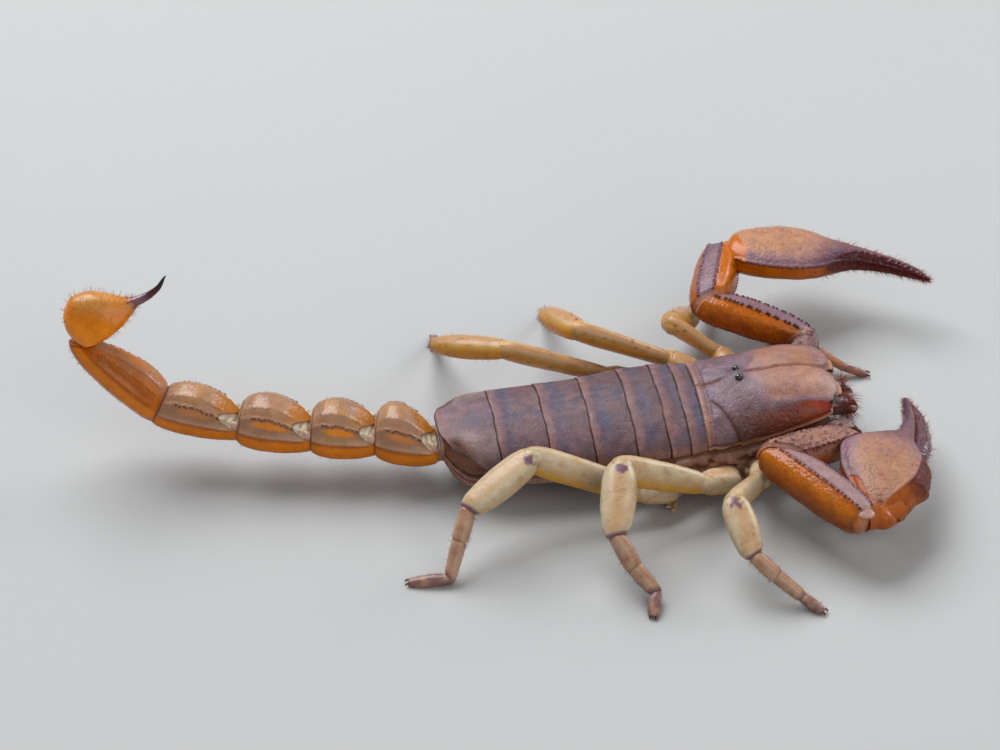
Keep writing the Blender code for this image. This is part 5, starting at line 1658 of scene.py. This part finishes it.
def chelicerae(hairs):
    """The two jaws between the claw arms, each with a pair of dark fingers."""
    for name, side in (("right", -1), ("left", 1)):
        body = tube((34.2, side * 1.7, 6.4), (37.3, side * 1.55, 5.65), (0, 0, 1),
                    [(0.0, 1.1, 0.9, 1.0), (0.4, 1.3, 1.1, 1.2), (0.8, 1.15, 1.0, 1.05),
                     (1.0, 0.8, 0.75, 0.8)], sides=64, rings=56, colour=UMBER, rough=0.25)
        # The lilac on the upper side is partly bloom, partly a painted reflection of the sky.
        body.paint(LILAC, 0.6 * smooth(0.9, 0.4, from_top(body)))
        body.paint(MAROON, 0.85 * smooth(0.6, 1.0, body.along))
        body.mottle(0.5, 0.2, seed=75)
        piece = Piece(f"chelicera_{name}_jaw").add(body)
        tip = vec((38.5, side * 1.25, 5.0))
        for lift, spread, size in ((0.35, -0.25, 0.5), (-0.3, 0.45, 0.42)):
            root = vec((37.0, side * (1.55 + spread), 5.65 + lift))
            middle = (root + tip) / 2 + vec((0.1, side * spread * 0.6, lift * 0.7))
            finger = swept((root, middle, tip + vec((0, side * spread * 0.3, lift * 0.2))),
                           (size, size * 0.75, 0.1), MAROON, 0.18)
            finger.paint(BLACK, 0.8 * smooth(0.5, 1, finger.along))
            piece.add(finger)
        piece.finish(TIPS, "dark_tips", f"chelicera_{name}")
        hairs.plant(body, smooth(0.4, 0.9, body.along) + 0.6 * smooth(1.2, 2.2, from_top(body)),
                    460, 2.0, (0.5, side * 0.4, -0.5), RUST, (0.02, 0.3 + 0.2 * side, 0.3, 0.15),
                    thick=0.022, spread=0.4)


# --- stage ---------------------------------------------------------------------------------------

CAMERA_TURN, CAMERA_RISE, CAMERA_AWAY = -9.5, 38.0, 471.0
CAMERA_TARGET = (0.0, 11.0, 5.0)


def aim(made, target):
    """Turns a camera or a lamp to look at a point."""
    way = type(made.location)(target) - made.location
    made.rotation_euler = way.to_track_quat("-Z", "Y").to_euler()


def camera():
    """A long lens that looks down at the animal's right side."""
    turn, rise = np.radians(CAMERA_TURN), np.radians(CAMERA_RISE)
    back = vec((np.sin(turn) * np.cos(rise), -np.cos(turn) * np.cos(rise), np.sin(rise)))
    target = to_frame(CAMERA_TARGET)
    lens = bpy.data.cameras.new("camera")
    lens.lens, lens.sensor_width = 150, 36
    lens.clip_start, lens.clip_end = 0.01, 20
    made = bpy.data.objects.new("camera", lens)
    made.location = (target + back * CAMERA_AWAY * MM).tolist()
    aim(put_in_scene(made), target.tolist())
    bpy.context.scene.camera = made


def lamp(name, spot, size, watts, colour):
    """A square soft light that faces the animal."""
    light = bpy.data.lights.new(name, "AREA")
    light.size, light.energy, light.color = size, watts, colour
    made = bpy.data.objects.new(name, light)
    made.location = spot
    aim(put_in_scene(made), (0, 0, 0))


def floor():
    """A plain pale sheet under the animal."""
    mesh = bpy.data.meshes.new("floor")
    reach = 3.0
    mesh.from_pydata([(-reach, -reach, 0), (reach, -reach, 0), (reach, reach, 0),
                      (-reach, reach, 0)], [], [(0, 1, 2, 3)])
    material = bpy.data.materials.new("floor_paper")
    material.use_nodes = True
    nodes, links = material.node_tree.nodes, material.node_tree.links
    shader = nodes["Principled BSDF"]
    noise_node = nodes.new("ShaderNodeTexNoise")
    noise_node.inputs["Scale"].default_value = 40
    ramp = nodes.new("ShaderNodeValToRGB")
    ramp.color_ramp.elements[0].color = (0.36, 0.355, 0.345, 1)
    ramp.color_ramp.elements[1].color = (0.40, 0.395, 0.385, 1)
    links.new(noise_node.outputs["Fac"], ramp.inputs["Fac"])
    links.new(ramp.outputs[0], shader.inputs["Base Color"])
    shader.inputs["Roughness"].default_value = 0.9
    mesh.materials.append(material)
    put_in_scene(bpy.data.objects.new("floor", mesh))


def light_scene():
    """A dim even sky, a big window behind, and two weaker lamps."""
    world = bpy.data.worlds.new("sky")
    bpy.context.scene.world = world
    world.use_nodes = True
    sky = world.node_tree.nodes["Background"]
    sky.inputs["Color"].default_value = (0.86, 0.92, 1.0, 1)
    sky.inputs["Strength"].default_value = 0.32
    bpy.context.scene.view_settings.view_transform = "Standard"
    lamp("window", (-0.15, 0.35, 0.55), 0.5, 6.5, (0.93, 0.96, 1.0))
    lamp("front_fill", (0.25, -0.6, 0.45), 0.6, 2.6, (1.0, 0.96, 0.92))
    lamp("rim", (0.6, 0.3, 0.3), 0.3, 2.0, (0.95, 0.97, 1.0))


def build():
    camera()
    floor()
    light_scene()
    shield = carapace_shell()
    eyes(shield)
    for number in range(7):
        back_plate(number)
    belly_skin()
    prosoma_skin()
    sternum_plates()
    combs()
    tail_hairs = Bristles("tail_bristles", 7)
    for number in range(5):
        tail_ring(number, tail_hairs)
    tail_membranes()
    sting(tail_hairs)
    tail_hairs.finish("tail_amber")
    leg_hairs = Bristles("leg_bristles", 21)
    for name, joints in LEGS.items():
        leg(name, joints, leg_hairs)
    leg_hairs.finish("leg_cream")
    palp_hairs = Bristles("palp_bristles", 22)
    for number, (name, joints) in enumerate(PALPS.items()):
        palp(name, joints, palp_hairs, (0.02, 0.02 + 0.5 * number, 0.6, 0.44))
    palp_hairs.finish("dark_tips")
    jaw_hairs = Bristles("jaw_bristles", 23)
    chelicerae(jaw_hairs)
    jaw_hairs.finish("dark_tips")


build()
